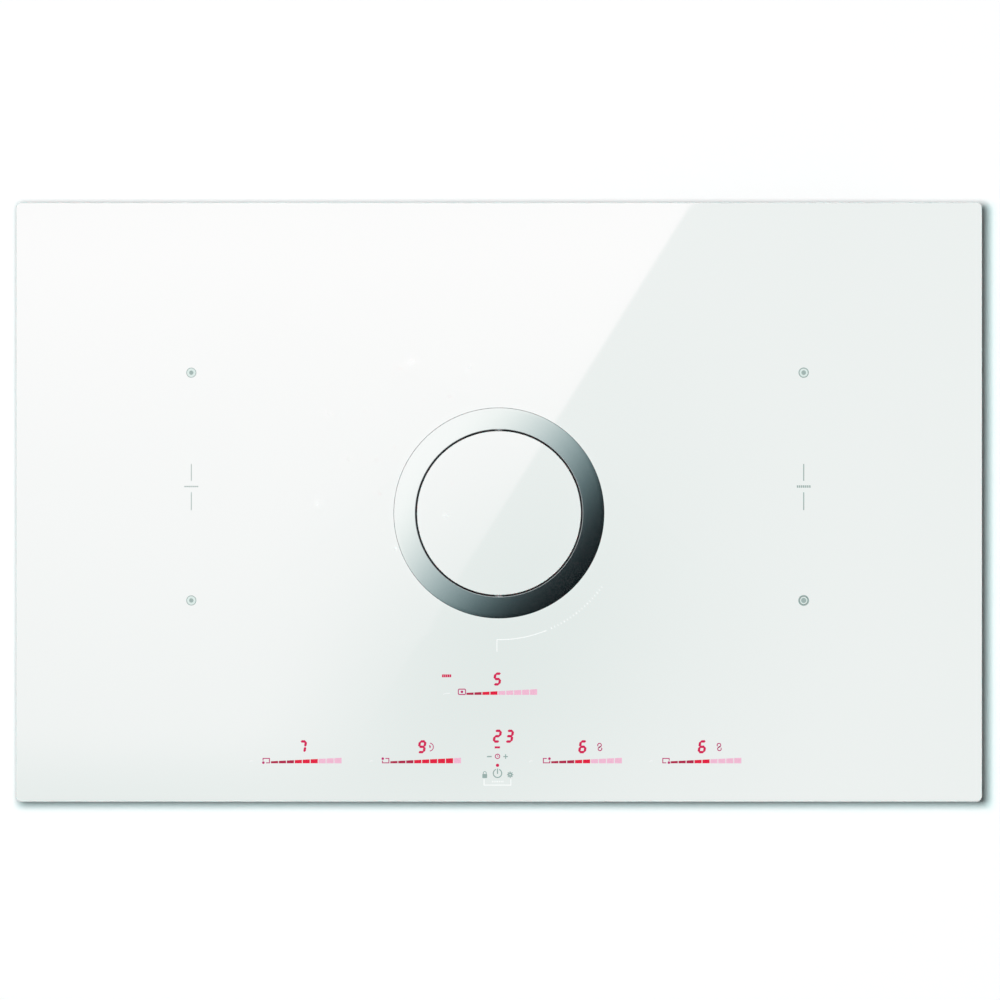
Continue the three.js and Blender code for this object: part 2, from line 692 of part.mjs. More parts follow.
// The moulded frame under the ring: a skirt that drops into the well, and the stop ledge for the flap.
function flapFrame() {
  const hoop = revolve(
    [
      [frameInner, -FRAME_DEPTH],
      [frameOuter, -FRAME_DEPTH],
      [frameOuter, -FRAME_FLANGE_DROP],
      [GLASS_HOLE_RADIUS - FRAME_TO_GLASS, -FRAME_FLANGE_DROP],
      [GLASS_HOLE_RADIUS - FRAME_TO_GLASS, frameTop],
      [frameInner, frameTop],
    ],
    32,
  );
  const sweep = radians(STOP_LEDGE_SWEEP);
  const ledge = new THREE.Shape();
  ledge.absarc(0, 0, frameInner + ROOT, Math.PI - sweep / 2, Math.PI + sweep / 2);
  ledge.absarc(0, 0, frameInner - STOP_LEDGE_WIDTH, Math.PI + sweep / 2, Math.PI - sweep / 2, true);
  ledge.closePath();
  const stop = prism(ledge, plateTop - STOP_LEDGE_THICKNESS, plateTop, 10);
  const bushHoles = alongY(rod(bushOuter + SEAT_GAP, -wellInner, wellInner)).translate(0, 0, -PIVOT_DROP);
  return cut(join(hoop, stop), bushHoles);
}

const bushInner = PIN_RADIUS + SEAT_GAP;
const bushOuter = bushInner + BUSH_WALL;
const bushFace = frameInner - 2 * SEAT_GAP;

// A flanged bush pushed into the frame from inside. Its flange shows in the gap beside the flap.
function bush() {
  return revolve(
    [
      [bushInner, bushFace - BUSH_FLANGE_THICKNESS],
      [BUSH_FLANGE_RADIUS, bushFace - BUSH_FLANGE_THICKNESS],
      [BUSH_FLANGE_RADIUS, bushFace],
      [bushOuter, bushFace],
      [bushOuter, frameOuter],
      [bushInner, frameOuter],
    ],
    12,
  );
}

function flapGlass() {
  return revolve(
    [
      [0, flapUnder],
      [flapRadius - FLAP_CHAMFER, flapUnder],
      [flapRadius, flapUnder + FLAP_CHAMFER],
      [flapRadius, FLAP_RISE - FLAP_CHAMFER],
      [flapRadius - FLAP_CHAMFER, FLAP_RISE],
      [0, FLAP_RISE],
    ],
    32,
  );
}

// The moulded backing plate: a ribbed disc with a spine that carries the two hinge pins.
function flapPlate() {
  const radius = flapRadius - FLAP_PLATE_MARGIN;
  const disc = rod(radius, plateUnder, plateTop, 24);
  const ribLow = plateUnder - FLAP_RIB_HEIGHT;
  const ribHigh = plateUnder + ROOT;
  const hoop = tube(FLAP_RIB_RADIUS, FLAP_RIB_RADIUS + FLAP_RIB_THICKNESS, ribLow, ribHigh, 16);
  const ribs = turns(FLAP_RIBS).map((angle) =>
    box(
      0,
      radius - FLAP_RIB_MARGIN,
      -FLAP_RIB_THICKNESS / 2,
      FLAP_RIB_THICKNESS / 2,
      ribLow,
      ribHigh,
    ).rotateZ(angle + Math.PI / FLAP_RIBS),
  );
  const spineLow = -PIVOT_DROP - PIN_RADIUS - SPINE_WALL;
  const spineEnd = bushFace - BUSH_FLANGE_THICKNESS - SPINE_TO_BUSH;
  const spine = box(-SPINE_WIDTH / 2, SPINE_WIDTH / 2, -spineEnd, spineEnd, spineLow, plateTop);
  const bore = (side) => {
    const hole = alongY(rod(PIN_RADIUS + SEAT_GAP, pinInner - SEAT_GAP, wellOuter));
    return hole.rotateZ(side).translate(0, 0, -PIVOT_DROP);
  };
  return cut(join(disc, hoop, spine, ...ribs), bore(0), bore(Math.PI));
}

const pinOuter = frameOuter - PIN_INSET;
const pinInner = pinOuter - PIN_LENGTH;
const pin = () => rod(PIN_RADIUS, pinInner, pinOuter);

const gasket = tube(GASKET_INNER_RADIUS, lipInner - GASKET_TO_LIP, SEAT_GAP, gasketTop);
add(intake, "ring_gasket", gasket, silicone);
add(intake, "trim_ring", trimRing(), steel);
add(intake, "flap_frame", flapFrame(), blackPlastic);
add(intake, "flap_glass", flapGlass(), whiteGlass);
add(intake, "flap_plate", flapPlate(), blackPlastic);
for (const [end, angle] of [
  ["rear", 0],
  ["front", Math.PI],
]) {
  add(intake, `pivot_bush_${end}`, alongY(bush()).rotateZ(angle), paleGrey, 0, 0, -PIVOT_DROP);
  add(intake, `flap_pin_${end}`, alongY(pin()).rotateZ(angle), stainless, 0, 0, -PIVOT_DROP);
}

// ------------------------------------------------------------------------------ well and grease filter

const filterSeat = -FILTER_SEAT_DROP;
const rimUnder = filterSeat + SEAT_GAP;
const basketBottom = filterSeat - FILTER_HEIGHT;
const cupInner = basketOuter + SEAT_GAP;

function intakeWell() {
  const high = casingTop - GLASS_SURFACE;
  const floor = casingFloor + SEAT_GAP - GLASS_SURFACE;
  return revolve([
    [ledgeInner, filterSeat - FILTER_LEDGE_THICKNESS],
    [wellOuter, filterSeat - FILTER_LEDGE_THICKNESS],
    [wellOuter, floor],
    [wellOuter + WELL_MID_FLANGE, floor],
    [wellOuter + WELL_MID_FLANGE, floor + WELL_FLANGE_THICKNESS],
    [wellOuter, floor + WELL_FLANGE_THICKNESS],
    [wellOuter, high - WELL_FLANGE_THICKNESS],
    [wellOuter + WELL_TOP_FLANGE, high - WELL_FLANGE_THICKNESS],
    [wellOuter + WELL_TOP_FLANGE, high],
    [wellInner, high],
    [wellInner, filterSeat],
    [ledgeInner, filterSeat],
  ]);
}

// The perforated cylinder that the air is drawn through.
function filterBasket() {
  const wall = tube(basketInner, basketOuter, basketBottom, filterSeat);
  const rowMiddle = (basketBottom + DRIP_CUP_DEPTH + filterSeat - FILTER_COLLAR_HEIGHT) / 2;
  const slots = spread(FILTER_SLOT_ROWS, FILTER_SLOT_PITCH).flatMap((step, row) =>
    turns(FILTER_SLOTS).map((angle) =>
      box(
        basketInner - 2 * OVERRUN,
        basketOuter + 2 * OVERRUN,
        -FILTER_SLOT_WIDTH / 2,
        FILTER_SLOT_WIDTH / 2,
        rowMiddle + step - FILTER_SLOT_HEIGHT / 2,
        rowMiddle + step + FILTER_SLOT_HEIGHT / 2,
      ).rotateZ(angle + ((row + 0.5) * Math.PI) / FILTER_SLOTS),
    ),
  );
  return cut(wall, ...slots);
}

// The flange that hangs on the well's ledge, with a collar inside the basket.
function filterRim() {
  const collarOuter = basketInner - SEAT_GAP;
  const collarInner = collarOuter - FILTER_COLLAR_WALL;
  const rimOuter = wellInner - FILTER_RIM_CLEARANCE;
  return revolve([
    [collarInner, filterSeat - FILTER_COLLAR_HEIGHT],
    [collarOuter, filterSeat - FILTER_COLLAR_HEIGHT],
    [collarOuter, rimUnder],
    [rimOuter, rimUnder],
    [rimOuter, rimUnder + FILTER_RIM_THICKNESS],
    [collarInner, rimUnder + FILTER_RIM_THICKNESS],
  ]);
}

// The cup that the basket stands in, which catches grease and spilt water.
function dripCup() {
  const floor = basketBottom - SEAT_GAP;
  const outer = cupInner + DRIP_CUP_WALL;
  return revolve([
    [0, floor - DRIP_CUP_WALL],
    [outer - DRIP_CUP_CHAMFER, floor - DRIP_CUP_WALL],
    [outer, floor - DRIP_CUP_WALL + DRIP_CUP_CHAMFER],
    [outer, floor + DRIP_CUP_DEPTH],
    [cupInner, floor + DRIP_CUP_DEPTH],
    [cupInner, floor],
    [0, floor],
  ]);
}

// A strip bent into an arch across the rim.
function filterHandle() {
  const low = rimUnder + FILTER_RIM_THICKNESS + SEAT_GAP;
  const high = low + HANDLE_HEIGHT;
  const reach = basketOuter + HANDLE_THICKNESS;
  const arch = new THREE.Shape();
  arch.moveTo(reach - HANDLE_THICKNESS, low);
  arch.lineTo(reach, low);
  arch.absarc(reach - HANDLE_CORNER, high - HANDLE_CORNER, HANDLE_CORNER, 0, Math.PI / 2);
  arch.absarc(-reach + HANDLE_CORNER, high - HANDLE_CORNER, HANDLE_CORNER, Math.PI / 2, Math.PI);
  arch.lineTo(-reach, low);
  arch.lineTo(-reach + HANDLE_THICKNESS, low);
  const bend = HANDLE_CORNER - HANDLE_THICKNESS;
  const inside = reach - HANDLE_CORNER;
  arch.absarc(-inside, high - HANDLE_CORNER, bend, Math.PI, Math.PI / 2, true);
  arch.absarc(inside, high - HANDLE_CORNER, bend, Math.PI / 2, 0, true);
  arch.closePath();
  const strip = prism(arch, -HANDLE_WIDTH / 2, HANDLE_WIDTH / 2);
  return strip.rotateX(Math.PI / 2).rotateZ(Math.PI / 2);
}

add(intake, "intake_well", intakeWell(), blackPlastic);
add(intake, "filter_basket", filterBasket(), stainless);
add(intake, "filter_rim", filterRim(), stainless);
add(intake, "filter_drip_cup", dripCup(), stainless);
add(intake, "filter_handle", filterHandle(), stainless);

// ------------------------------------------------------------------------------ air box

const air = assembly();
const airBoxShape = (inset) =>
  roundedRect(
    AIR_BOX_WIDTH - 2 * inset,
    AIR_BOX_DEPTH - 2 * inset,
    AIR_BOX_CORNER - inset,
    AIR_BOX_X,
    AIR_BOX_Y,
  );

const airBoxLeft = AIR_BOX_X - AIR_BOX_WIDTH / 2;
const airBoxFront = AIR_BOX_Y - AIR_BOX_DEPTH / 2;
const airBoxBack = AIR_BOX_Y + AIR_BOX_DEPTH / 2;

// Places of the upright ribs along a straight stretch of wall.
function ribPlaces(from, to) {
  const gaps = Math.floor((to - from - 2 * WALL_RIB_TO_CORNER) / WALL_RIB_PITCH);
  const first = (from + to - gaps * WALL_RIB_PITCH) / 2;
  return Array.from({ length: gaps + 1 }, (_, i) => first + i * WALL_RIB_PITCH);
}

const ribsX = ribPlaces(airBoxLeft + AIR_BOX_CORNER, airBoxRight - AIR_BOX_CORNER);
const ribsY = ribPlaces(airBoxFront + AIR_BOX_CORNER, airBoxBack - AIR_BOX_CORNER);

// Ribs at places along X on a wall that faces -1 (front) or +1 (back), and along Y likewise.
function ribsAlongX(places, wall, facing, low, high) {
  const half = WALL_RIB_THICKNESS / 2;
  const [from, to] = [wall - facing * ROOT, wall + facing * WALL_RIB_REACH].sort((a, b) => a - b);
  return places.map((x) => box(x - half, x + half, from, to, low, high));
}

function ribsAlongY(places, wall, facing, low, high) {
  const half = WALL_RIB_THICKNESS / 2;
  const [from, to] = [wall - facing * ROOT, wall + facing * WALL_RIB_REACH].sort((a, b) => a - b);
  return places.map((y) => box(from, to, y - half, y + half, low, high));
}

// The fan stands at the right of the air box, so that wall is plain.
const airBoxRibs = (low, high) => [
  ...ribsAlongX(ribsX, airBoxFront, -1, low, high),
  ...ribsAlongX(ribsX, airBoxBack, 1, low, high),
  ...ribsAlongY(ribsY, airBoxLeft, -1, low, high),
];

// The cover snaps on between the outer pairs of ribs of each wall: x, y and degrees from the front wall.
const outerGaps = (places) => [
  (places[0] + places[1]) / 2,
  (places.at(-2) + places.at(-1)) / 2,
];
const snaps = [
  ...outerGaps(ribsX).flatMap((x) => [
    [x, airBoxFront, 0],
    [x, airBoxBack, 180],
  ]),
  ...outerGaps(ribsY).map((y) => [airBoxLeft, y, -90]),
];
const atSnaps = (make) =>
  snaps.map(([x, y, turn]) => solid(make()).rotate([0, 0, turn]).translate([x, y, 0]));
const snapHalf = SNAP_WIDTH / 2;
const snapOuter = SEAT_GAP + SNAP_THICKNESS;
const windowHalf = snapHalf - SNAP_WINDOW_EDGE;
const windowLow = airBoxRim - SNAP_DROP + SNAP_WINDOW_EDGE;
const windowHigh = windowLow + SNAP_WINDOW_HEIGHT;

const snapLug = () =>
  box(
    SNAP_PLAY - windowHalf,
    windowHalf - SNAP_PLAY,
    -snapOuter - SNAP_LUG_PROUD,
    ROOT,
    windowLow + SNAP_PLAY,
    windowHigh - SNAP_PLAY,
  );

function snapHook() {
  const low = airBoxRim - SNAP_DROP;
  const high = airBoxRim + SNAP_RISE;
  const strip = box(-snapHalf, snapHalf, -snapOuter, -SEAT_GAP, low, high);
  const root = box(-snapHalf, snapHalf, -snapOuter, ROOT, coverBottom, high);
  const window = box(-windowHalf, windowHalf, -snapOuter - OVERRUN, OVERRUN, windowLow, windowHigh);
  return cut(join(strip, root), window);
}

function airBoxBase() {
  const bandHigh = airBoxRim - RIM_BAND_DROP;
  const bandLow = bandHigh - RIM_BAND_HEIGHT;
  const wayHalf = snapHalf + SNAP_TO_BAND;
  const way = () => box(-wayHalf, wayHalf, -snapOuter, 0, bandLow - OVERRUN, bandHigh + OVERRUN);
  const band = cut(prism(airBoxShape(-RIM_BAND_REACH), bandLow, bandHigh), ...atSnaps(way));
  const shell = cut(
    join(
      prism(airBoxShape(0), 0, airBoxRim),
      band,
      ...airBoxRibs(WALL_RIB_TO_FLOOR, bandLow + ROOT),
      ...atSnaps(snapLug),
    ),
    prism(airBoxShape(PLASTIC_WALL), PLASTIC_WALL, airBoxRim + OVERRUN),
  );
  const recessTop = DRAIN_RECESS_DEPTH + PLASTIC_WALL;
  const boss = rod(DRAIN_RECESS_RADIUS + PLASTIC_WALL, 0, recessTop, 16).translate(0, DRAIN_Y, 0);
  const recess = rod(DRAIN_RECESS_RADIUS, -OVERRUN, DRAIN_RECESS_DEPTH, 16).translate(0, DRAIN_Y, 0);
  const drain = rod(DRAIN_HOLE_RADIUS, -OVERRUN, recessTop + OVERRUN, 24).translate(0, DRAIN_Y, 0);
  return cut(join(shell, boss), recess, drain);
}

// The duct that leads from the air box over the fan, as a plan shape.
function ductShape(inset) {
  const left = AIR_BOX_X + inset;
  const right = fanX + DUCT_REACH - inset;
  const width = right - left;
  const depth = 2 * (DUCT_REACH - inset);
  return roundedRect(width, depth, DUCT_CORNER - inset, (left + right) / 2, FAN_Y);
}

function airBoxCover() {
  const bandHigh = coverBottom + RIM_BAND_HEIGHT;
  const ribLow = bandHigh - ROOT;
  const ribHigh = coverTop - WALL_RIB_TO_TOP;
  const ductRight = fanX + DUCT_REACH;
  const ductRibsX = ribPlaces(airBoxRight, ductRight - DUCT_CORNER);
  const ductRibsY = ribPlaces(FAN_Y - DUCT_REACH + DUCT_CORNER, FAN_Y + DUCT_REACH - DUCT_CORNER);
  const outer = join(
    prism(airBoxShape(0), coverBottom, coverTop),
    prism(ductShape(0), coverBottom, coverTop),
    prism(airBoxShape(-RIM_BAND_REACH), coverBottom, bandHigh),
    prism(ductShape(-RIM_BAND_REACH), coverBottom, bandHigh),
    ...airBoxRibs(ribLow, ribHigh),
    ...ribsAlongX(ductRibsX, FAN_Y - DUCT_REACH, -1, ribLow, ribHigh),
    ...ribsAlongX(ductRibsX, FAN_Y + DUCT_REACH, 1, ribLow, ribHigh),
    ...ribsAlongY(ductRibsY, ductRight, 1, ribLow, ribHigh),
    ...atSnaps(snapHook),
  );
  const hollow = join(
    prism(airBoxShape(PLASTIC_WALL), coverBottom - OVERRUN, coverTop - PLASTIC_WALL),
    prism(ductShape(PLASTIC_WALL), coverBottom - OVERRUN, coverTop - PLASTIC_WALL),
  );
  const wellHole = rod(wellOuter + HOLE_MARGIN, coverTop - 2 * PLASTIC_WALL, coverTop + OVERRUN, 24);
  return cut(outer, hollow, wellHole.translate(0, INTAKE_Y, 0));
}

// A quarter-turn cap that drains the air box from below.
function drainCap() {
  const high = DRAIN_RECESS_DEPTH - DRAIN_SEAL_HEIGHT - 2 * SEAT_GAP;
  const low = high - DRAIN_CAP_THICKNESS;
  const disc = rod(DRAIN_CAP_RADIUS, low, high, 16);
  const plugTop = DRAIN_RECESS_DEPTH + PLASTIC_WALL + DRAIN_PLUG_REACH;
  const plug = rod(DRAIN_HOLE_RADIUS - SEAT_GAP, high - ROOT, plugTop);
  const reach = DRAIN_CAP_RADIUS - DRAIN_GRIP_MARGIN;
  const half = DRAIN_GRIP_THICKNESS / 2;
  const grip = box(-reach, reach, -half, half, low - DRAIN_GRIP_HEIGHT, low + ROOT);
  return join(disc, plug, grip);
}

const drainSeal = () =>
  tube(
    DRAIN_HOLE_RADIUS + SEAT_GAP,
    DRAIN_CAP_RADIUS - DRAIN_SEAL_MARGIN,
    DRAIN_RECESS_DEPTH - SEAT_GAP - DRAIN_SEAL_HEIGHT,
    DRAIN_RECESS_DEPTH - SEAT_GAP,
    16,
  );

add(air, "air_box_base", airBoxBase(), blackPlastic);
add(air, "air_box_cover", airBoxCover(), blackPlastic);
add(air, "drain_cap", drainCap(), greyPlastic, 0, DRAIN_Y, 0);
add(air, "drain_seal", drainSeal(), foam, 0, DRAIN_Y, 0);

// ------------------------------------------------------------------------------ centrifugal fan
// Plan positions in this assembly count from the fan's axis.

const fan = assembly(fanX, FAN_Y, 0);
const outletY = casingDepth / 2 - OUTLET_TO_BACK - FAN_Y;
const outletMiddle = SCROLL_END_RADIUS - OUTLET_WIDTH / 2;

// The spiral from the tongue round to the widest point, as a plan shape grown by a wall.
function spiralShape(grow) {
  const steps = 18;
  const start = grow ? tongue - grow / SCROLL_START_RADIUS : tongue;
  const points = Array.from({ length: steps + 1 }, (_, i) => {
    const angle = start + ((2 * Math.PI - start) * i) / steps;
    const radius = scrollRadius(angle) + grow;
    return [radius * Math.cos(angle), radius * Math.sin(angle)];
  });
  return polygon([...points, [0, 0]]);
}

// The diffuser from the fan to the outlet, as a plan shape grown by a wall and ending at a given depth.
function diffuserShape(grow, end) {
  const right = SCROLL_END_RADIUS + grow;
  const left = SCROLL_END_RADIUS - OUTLET_WIDTH - grow;
  const tip = new THREE.Vector2(
    SCROLL_START_RADIUS * Math.cos(tongue) - grow,
    SCROLL_START_RADIUS * Math.sin(tongue),
  );
  const shape = new THREE.Shape();
  shape.moveTo(-MOTOR_RADIUS, -MOTOR_RADIUS);
  shape.lineTo(right, 0);
  shape.lineTo(right, end);
  shape.lineTo(left, end);
  shape.lineTo(left, outletY);
  shape.bezierCurveTo(left, outletY * 0.72, tip.x, outletY * 0.62, tip.x, tip.y);
  shape.closePath();
  return shape;
}

const scrollOutline = (grow, low, high) => [
  prism(spiralShape(grow), low, high),
  prism(diffuserShape(grow, outletY), low, high, 8),
];

// The scroll with its flange, the ribs round its wall and the bosses for the cover's screws.
function scrollBase() {
  const flangeLow = scrollRim - SCROLL_FLANGE_THICKNESS;
  const ribPitch = (flangeLow - SCROLL_BOSS_LENGTH) / (SCROLL_RIBS + 1);
  const ribs = Array.from({ length: SCROLL_RIBS }, (_, i) => {
    const low = ribPitch * (i + 1);
    return scrollOutline(PLASTIC_WALL + SCROLL_RIB_REACH, low, low + SCROLL_RIB_THICKNESS);
  }).flat();
  const bossReach = PLASTIC_WALL + SCROLL_FLANGE_REACH - SCROLL_BOSS_RADIUS;
  const round = Array.from({ length: SCROLL_BOSSES }, (_, i) => {
    const angle = tongue + ((2 * Math.PI - tongue) * (i + 0.6)) / SCROLL_BOSSES;
    const radius = scrollRadius(angle) + bossReach;
    return [radius * Math.cos(angle), radius * Math.sin(angle)];
  });
  const straight = DIFFUSER_BOSSES.map((share) => [SCROLL_END_RADIUS + bossReach, share * outletY]);
  const last = [SCROLL_END_RADIUS - OUTLET_WIDTH - bossReach, DIFFUSER_BOSSES.at(-1) * outletY];
  const bosses = [...round, ...straight, last].map(([x, y]) =>
    rod(SCROLL_BOSS_RADIUS, flangeLow - SCROLL_BOSS_LENGTH, flangeLow + ROOT, 10).translate(x, y, 0),
  );
  const outer = join(
    ...scrollOutline(PLASTIC_WALL, 0, scrollRim),
    ...scrollOutline(PLASTIC_WALL + SCROLL_FLANGE_REACH, flangeLow, scrollRim),
    ...ribs,
    ...bosses,
  );
  const inner = join(
    prism(spiralShape(0), PLASTIC_WALL, scrollRim + OVERRUN),
    prism(diffuserShape(0, outletY + OVERRUN), PLASTIC_WALL, scrollRim + OVERRUN, 8),
  );
  return cut(outer, inner);
}

// The lid of the scroll, with the bellmouth that leads air into the impeller's eye.
function scrollCover() {
  const low = scrollRim + SEAT_GAP;
  const high = low + SCROLL_COVER_THICKNESS;
  const bridge = box(
    airBoxRight + SEAT_GAP - fanX,
    0,
    -DUCT_REACH + DUCT_CORNER / 2,
    DUCT_REACH - DUCT_CORNER / 2,
    low,
    high,
  );
  const plate = join(...scrollOutline(PLASTIC_WALL + SCROLL_FLANGE_REACH, low, high), bridge);
  const steps = [0, 1, 2, 3].map((i) => (i * Math.PI) / 6);
  const curl = (reach) =>
    steps.map((angle) => [
      EYE_RADIUS + BELLMOUTH_CURL - reach * Math.cos(angle),
      high - BELLMOUTH_CURL + reach * Math.sin(angle),
    ]);
  const eyeRadius = EYE_RADIUS + BELLMOUTH_CURL;
  const lip = revolve([
    ...curl(BELLMOUTH_CURL - SCROLL_COVER_THICKNESS),
    [eyeRadius + ROOT, low],
    [eyeRadius + ROOT, high],
    ...curl(BELLMOUTH_CURL).reverse(),
  ]);
  const eye = rod(eyeRadius, low - OVERRUN, high + OVERRUN, 24);
  return join(cut(plate, eye), lip);
}

// A forward-curved impeller: blades between a driven plate and a shroud ring, and a cup over the motor.
function impeller() {
  const low = IMPELLER_LOW;
  const high = low + IMPELLER_HEIGHT;
  const cupOuter = MOTOR_RADIUS + MOTOR_AIR_GAP + IMPELLER_PLATE;
  const cupInner = MOTOR_RADIUS + MOTOR_AIR_GAP;
  const bore = SHAFT_RADIUS + SEAT_GAP;
  const hub = bore + IMPELLER_HUB_WALL;
  const body = revolve(
    [
      [bore, cupTop - IMPELLER_HUB_LENGTH],
      [hub, cupTop - IMPELLER_HUB_LENGTH],
      [hub, cupTop - IMPELLER_PLATE],
      [cupInner, cupTop - IMPELLER_PLATE],
      [cupInner, low],
      [IMPELLER_RADIUS, low],
      [IMPELLER_RADIUS, low + IMPELLER_PLATE],
      [cupOuter, low + IMPELLER_PLATE],
      [cupOuter, cupTop],
      [bore, cupTop],
    ],
    24,
  );
  const shroudInner = IMPELLER_RADIUS - IMPELLER_SHROUD_WIDTH;
  const shroud = tube(shroudInner, IMPELLER_RADIUS, high - IMPELLER_PLATE, high);
  const lead = radians(IMPELLER_BLADE_LEAD);
  const span = IMPELLER_RADIUS - IMPELLER_BLADE_INSET - IMPELLER_INNER_RADIUS;
  const edge = (offset) =>
    [0, 1, 2].map((i) => {
      const share = i / 2;
      const radius = IMPELLER_INNER_RADIUS + span * share;
      const angle = lead * share ** 1.8 + offset / radius;
      return [radius * Math.cos(angle), radius * Math.sin(angle)];
    });
  const half = IMPELLER_BLADE_THICKNESS / 2;
  const section = polygon([...edge(-half), ...edge(half).reverse()]);
  const blades = turns(IMPELLER_BLADES).map((angle) =>
    prism(section, low + IMPELLER_PLATE / 2, high - IMPELLER_PLATE / 2).rotateZ(angle),
  );
  return join(body, shroud, ...blades);
}

const motorLow = PLASTIC_WALL + SEAT_GAP;
const motorTop = motorLow + MOTOR_HEIGHT;
const cupTop = motorTop + MOTOR_AIR_GAP + IMPELLER_CUP_RISE;

// The motor's fixed part, its foot on the scroll's floor and its bore clear of the shaft.
function motorStator() {
  return revolve(
    [
      [SHAFT_RADIUS + SEAT_GAP, motorLow],
      [MOTOR_RADIUS + MOTOR_FOOT_WIDTH, motorLow],
      [MOTOR_RADIUS + MOTOR_FOOT_WIDTH, motorLow + MOTOR_FOOT_THICKNESS],
      [MOTOR_RADIUS, motorLow + MOTOR_FOOT_THICKNESS],
      [MOTOR_RADIUS, motorTop - MOTOR_SHOULDER],
      [MOTOR_RADIUS - MOTOR_SHOULDER, motorTop],
      [SHAFT_RADIUS + SEAT_GAP, motorTop],
    ],
    16,
  );
}

const shaft = () => rod(SHAFT_RADIUS, motorLow + SHAFT_FOOT, cupTop - SHAFT_INSET);

// The rectangular spigot that the flat duct is pushed over.
function outletCollar() {
  const middle = airBoxRim / 2;
  const block = (width, height, from, to) =>
    box(-width / 2, width / 2, from, to, middle - height / 2, middle + height / 2);
  const flangeWidth = OUTLET_WIDTH + 2 * OUTLET_FLANGE_MARGIN;
  const flangeEnd = SEAT_GAP + OUTLET_FLANGE_THICKNESS;
  const flange = block(flangeWidth, airBoxRim - 2 * SEAT_GAP, SEAT_GAP, flangeEnd);
  const spigot = block(OUTLET_WIDTH, OUTLET_HEIGHT, flangeEnd - ROOT, OUTLET_SPIGOT_LENGTH);
  const wayWidth = OUTLET_WIDTH - 2 * PLASTIC_WALL;
  const wayHeight = OUTLET_HEIGHT - 2 * PLASTIC_WALL;
  return cut(join(flange, spigot), block(wayWidth, wayHeight, 0, OUTLET_SPIGOT_LENGTH + OVERRUN));
}

add(fan, "scroll_base", scrollBase(), blackPlastic);
add(fan, "scroll_cover", scrollCover(), blackPlastic);
add(fan, "impeller", impeller(), greyPlastic);
add(fan, "motor_stator", motorStator(), zincSheet);
add(fan, "motor_shaft", shaft(), stainless);
add(fan, "outlet_collar", outletCollar(), blackPlastic, outletMiddle, outletY, 0);

// ------------------------------------------------------------------------------ induction zones

const coilTop = glassUnder - GLASS_TO_COIL;
const coilLow = coilTop - COIL_WIRE_HEIGHT;
const formerTop = coilLow - SEAT_GAP;
const formerLow = formerTop - FORMER_THICKNESS;
const ferriteLow = formerLow - FERRITE_THICKNESS;
const coilPlateTop = ferriteLow - SEAT_GAP;

// A flat winding: one strand of square-ish turns that spirals inwards.
function coil() {
  const bend = (value) => Math.sign(value) * Math.abs(value) ** (2 / COIL_SQUARENESS);
  const count = COIL_TURNS * COIL_STEPS;
  const positions = [];
  for (let i = 0; i <= count; i++) {
    const angle = (2 * Math.PI * i) / COIL_STEPS;
    const inset = (coilPitch * i) / COIL_STEPS;
    for (const [across, height] of [
      [0, coilLow],
      [0, coilTop],
      [COIL_WIRE_WIDTH, coilTop],
      [COIL_WIRE_WIDTH, coilLow],
    ]) {
      const halfWidth = COIL_WIDTH / 2 - inset - across;
      const halfDepth = coilDepth / 2 - inset - across;
      positions.push(halfWidth * bend(Math.cos(angle)), halfDepth * bend(Math.sin(angle)), height);
    }
  }
  const index = [0, 1, 2, 0, 2, 3];
  for (let i = 0; i < count; i++)
    for (let k = 0; k < 4; k++) {
      const [a, b] = [4 * i + k, 4 * i + ((k + 1) % 4)];
      index.push(a, a + 4, b, b, a + 4, b + 4);
    }
  const last = 4 * count;
  index.push(last, last + 2, last + 1, last, last + 3, last + 2);
  const geometry = new THREE.BufferGeometry();
  geometry.setAttribute("position", new THREE.Float32BufferAttribute(positions, 3));
  return geometry.setIndex(index);
}

// The moulded disc under a coil, with its ferrite bars on the underside.
function coilFormer() {
  const plate = prism(roundedRect(formerWidth, formerDepth, FORMER_CORNER), formerLow, formerTop);
  const bars = turns(FERRITES).map((angle) =>
    box(
      FERRITE_START,
      FERRITE_START + FERRITE_LENGTH,
      -FERRITE_WIDTH / 2,
      FERRITE_WIDTH / 2,
      ferriteLow,
      formerLow + ROOT,
    ).rotateZ(angle),
  );
  const sensorHole = rod(SENSOR_RADIUS + HOLE_MARGIN, ferriteLow - OVERRUN, formerTop + OVERRUN);
  return cut(join(plate, ...bars), sensorHole);
}

// The spring-loaded temperature probe that touches the glass in the middle of a coil.
function coilSensor() {
  return revolve(
    [
      [0, coilPlateTop + SEAT_GAP],
      [SENSOR_RADIUS, coilPlateTop + SEAT_GAP],
      [SENSOR_RADIUS, formerTop],
      [SENSOR_RADIUS - SENSOR_STEP, formerTop + SENSOR_STEP],
      [SENSOR_RADIUS - SENSOR_STEP, glassUnder - SEAT_GAP],
      [0, glassUnder - SEAT_GAP],
    ],
    10,
  );
}

// The aluminium plate that carries two coils, standing on folded feet.
function coilPlate() {
  const halfWidth = plateWidth / 2;
  const halfDepth = plateDepth / 2;
  const low = coilPlateTop - COIL_PLATE_THICKNESS;
  const sheet = box(-halfWidth, halfWidth, -halfDepth, halfDepth, low, coilPlateTop);
  const feet = [-1, 1].flatMap((side) =>
    [-1, 1].map((end) => {
      const x = side * (halfWidth - COIL_PLATE_THICKNESS / 2);
      const y = end * (halfDepth - COIL_PLATE_FOOT / 2);
      return box(
        x - COIL_PLATE_THICKNESS / 2,
        x + COIL_PLATE_THICKNESS / 2,
        y - COIL_PLATE_FOOT / 2,
        y + COIL_PLATE_FOOT / 2,
        casingFloor + SEAT_GAP,
        low + ROOT,
      );
    }),
  );
  return join(sheet, ...feet);
}

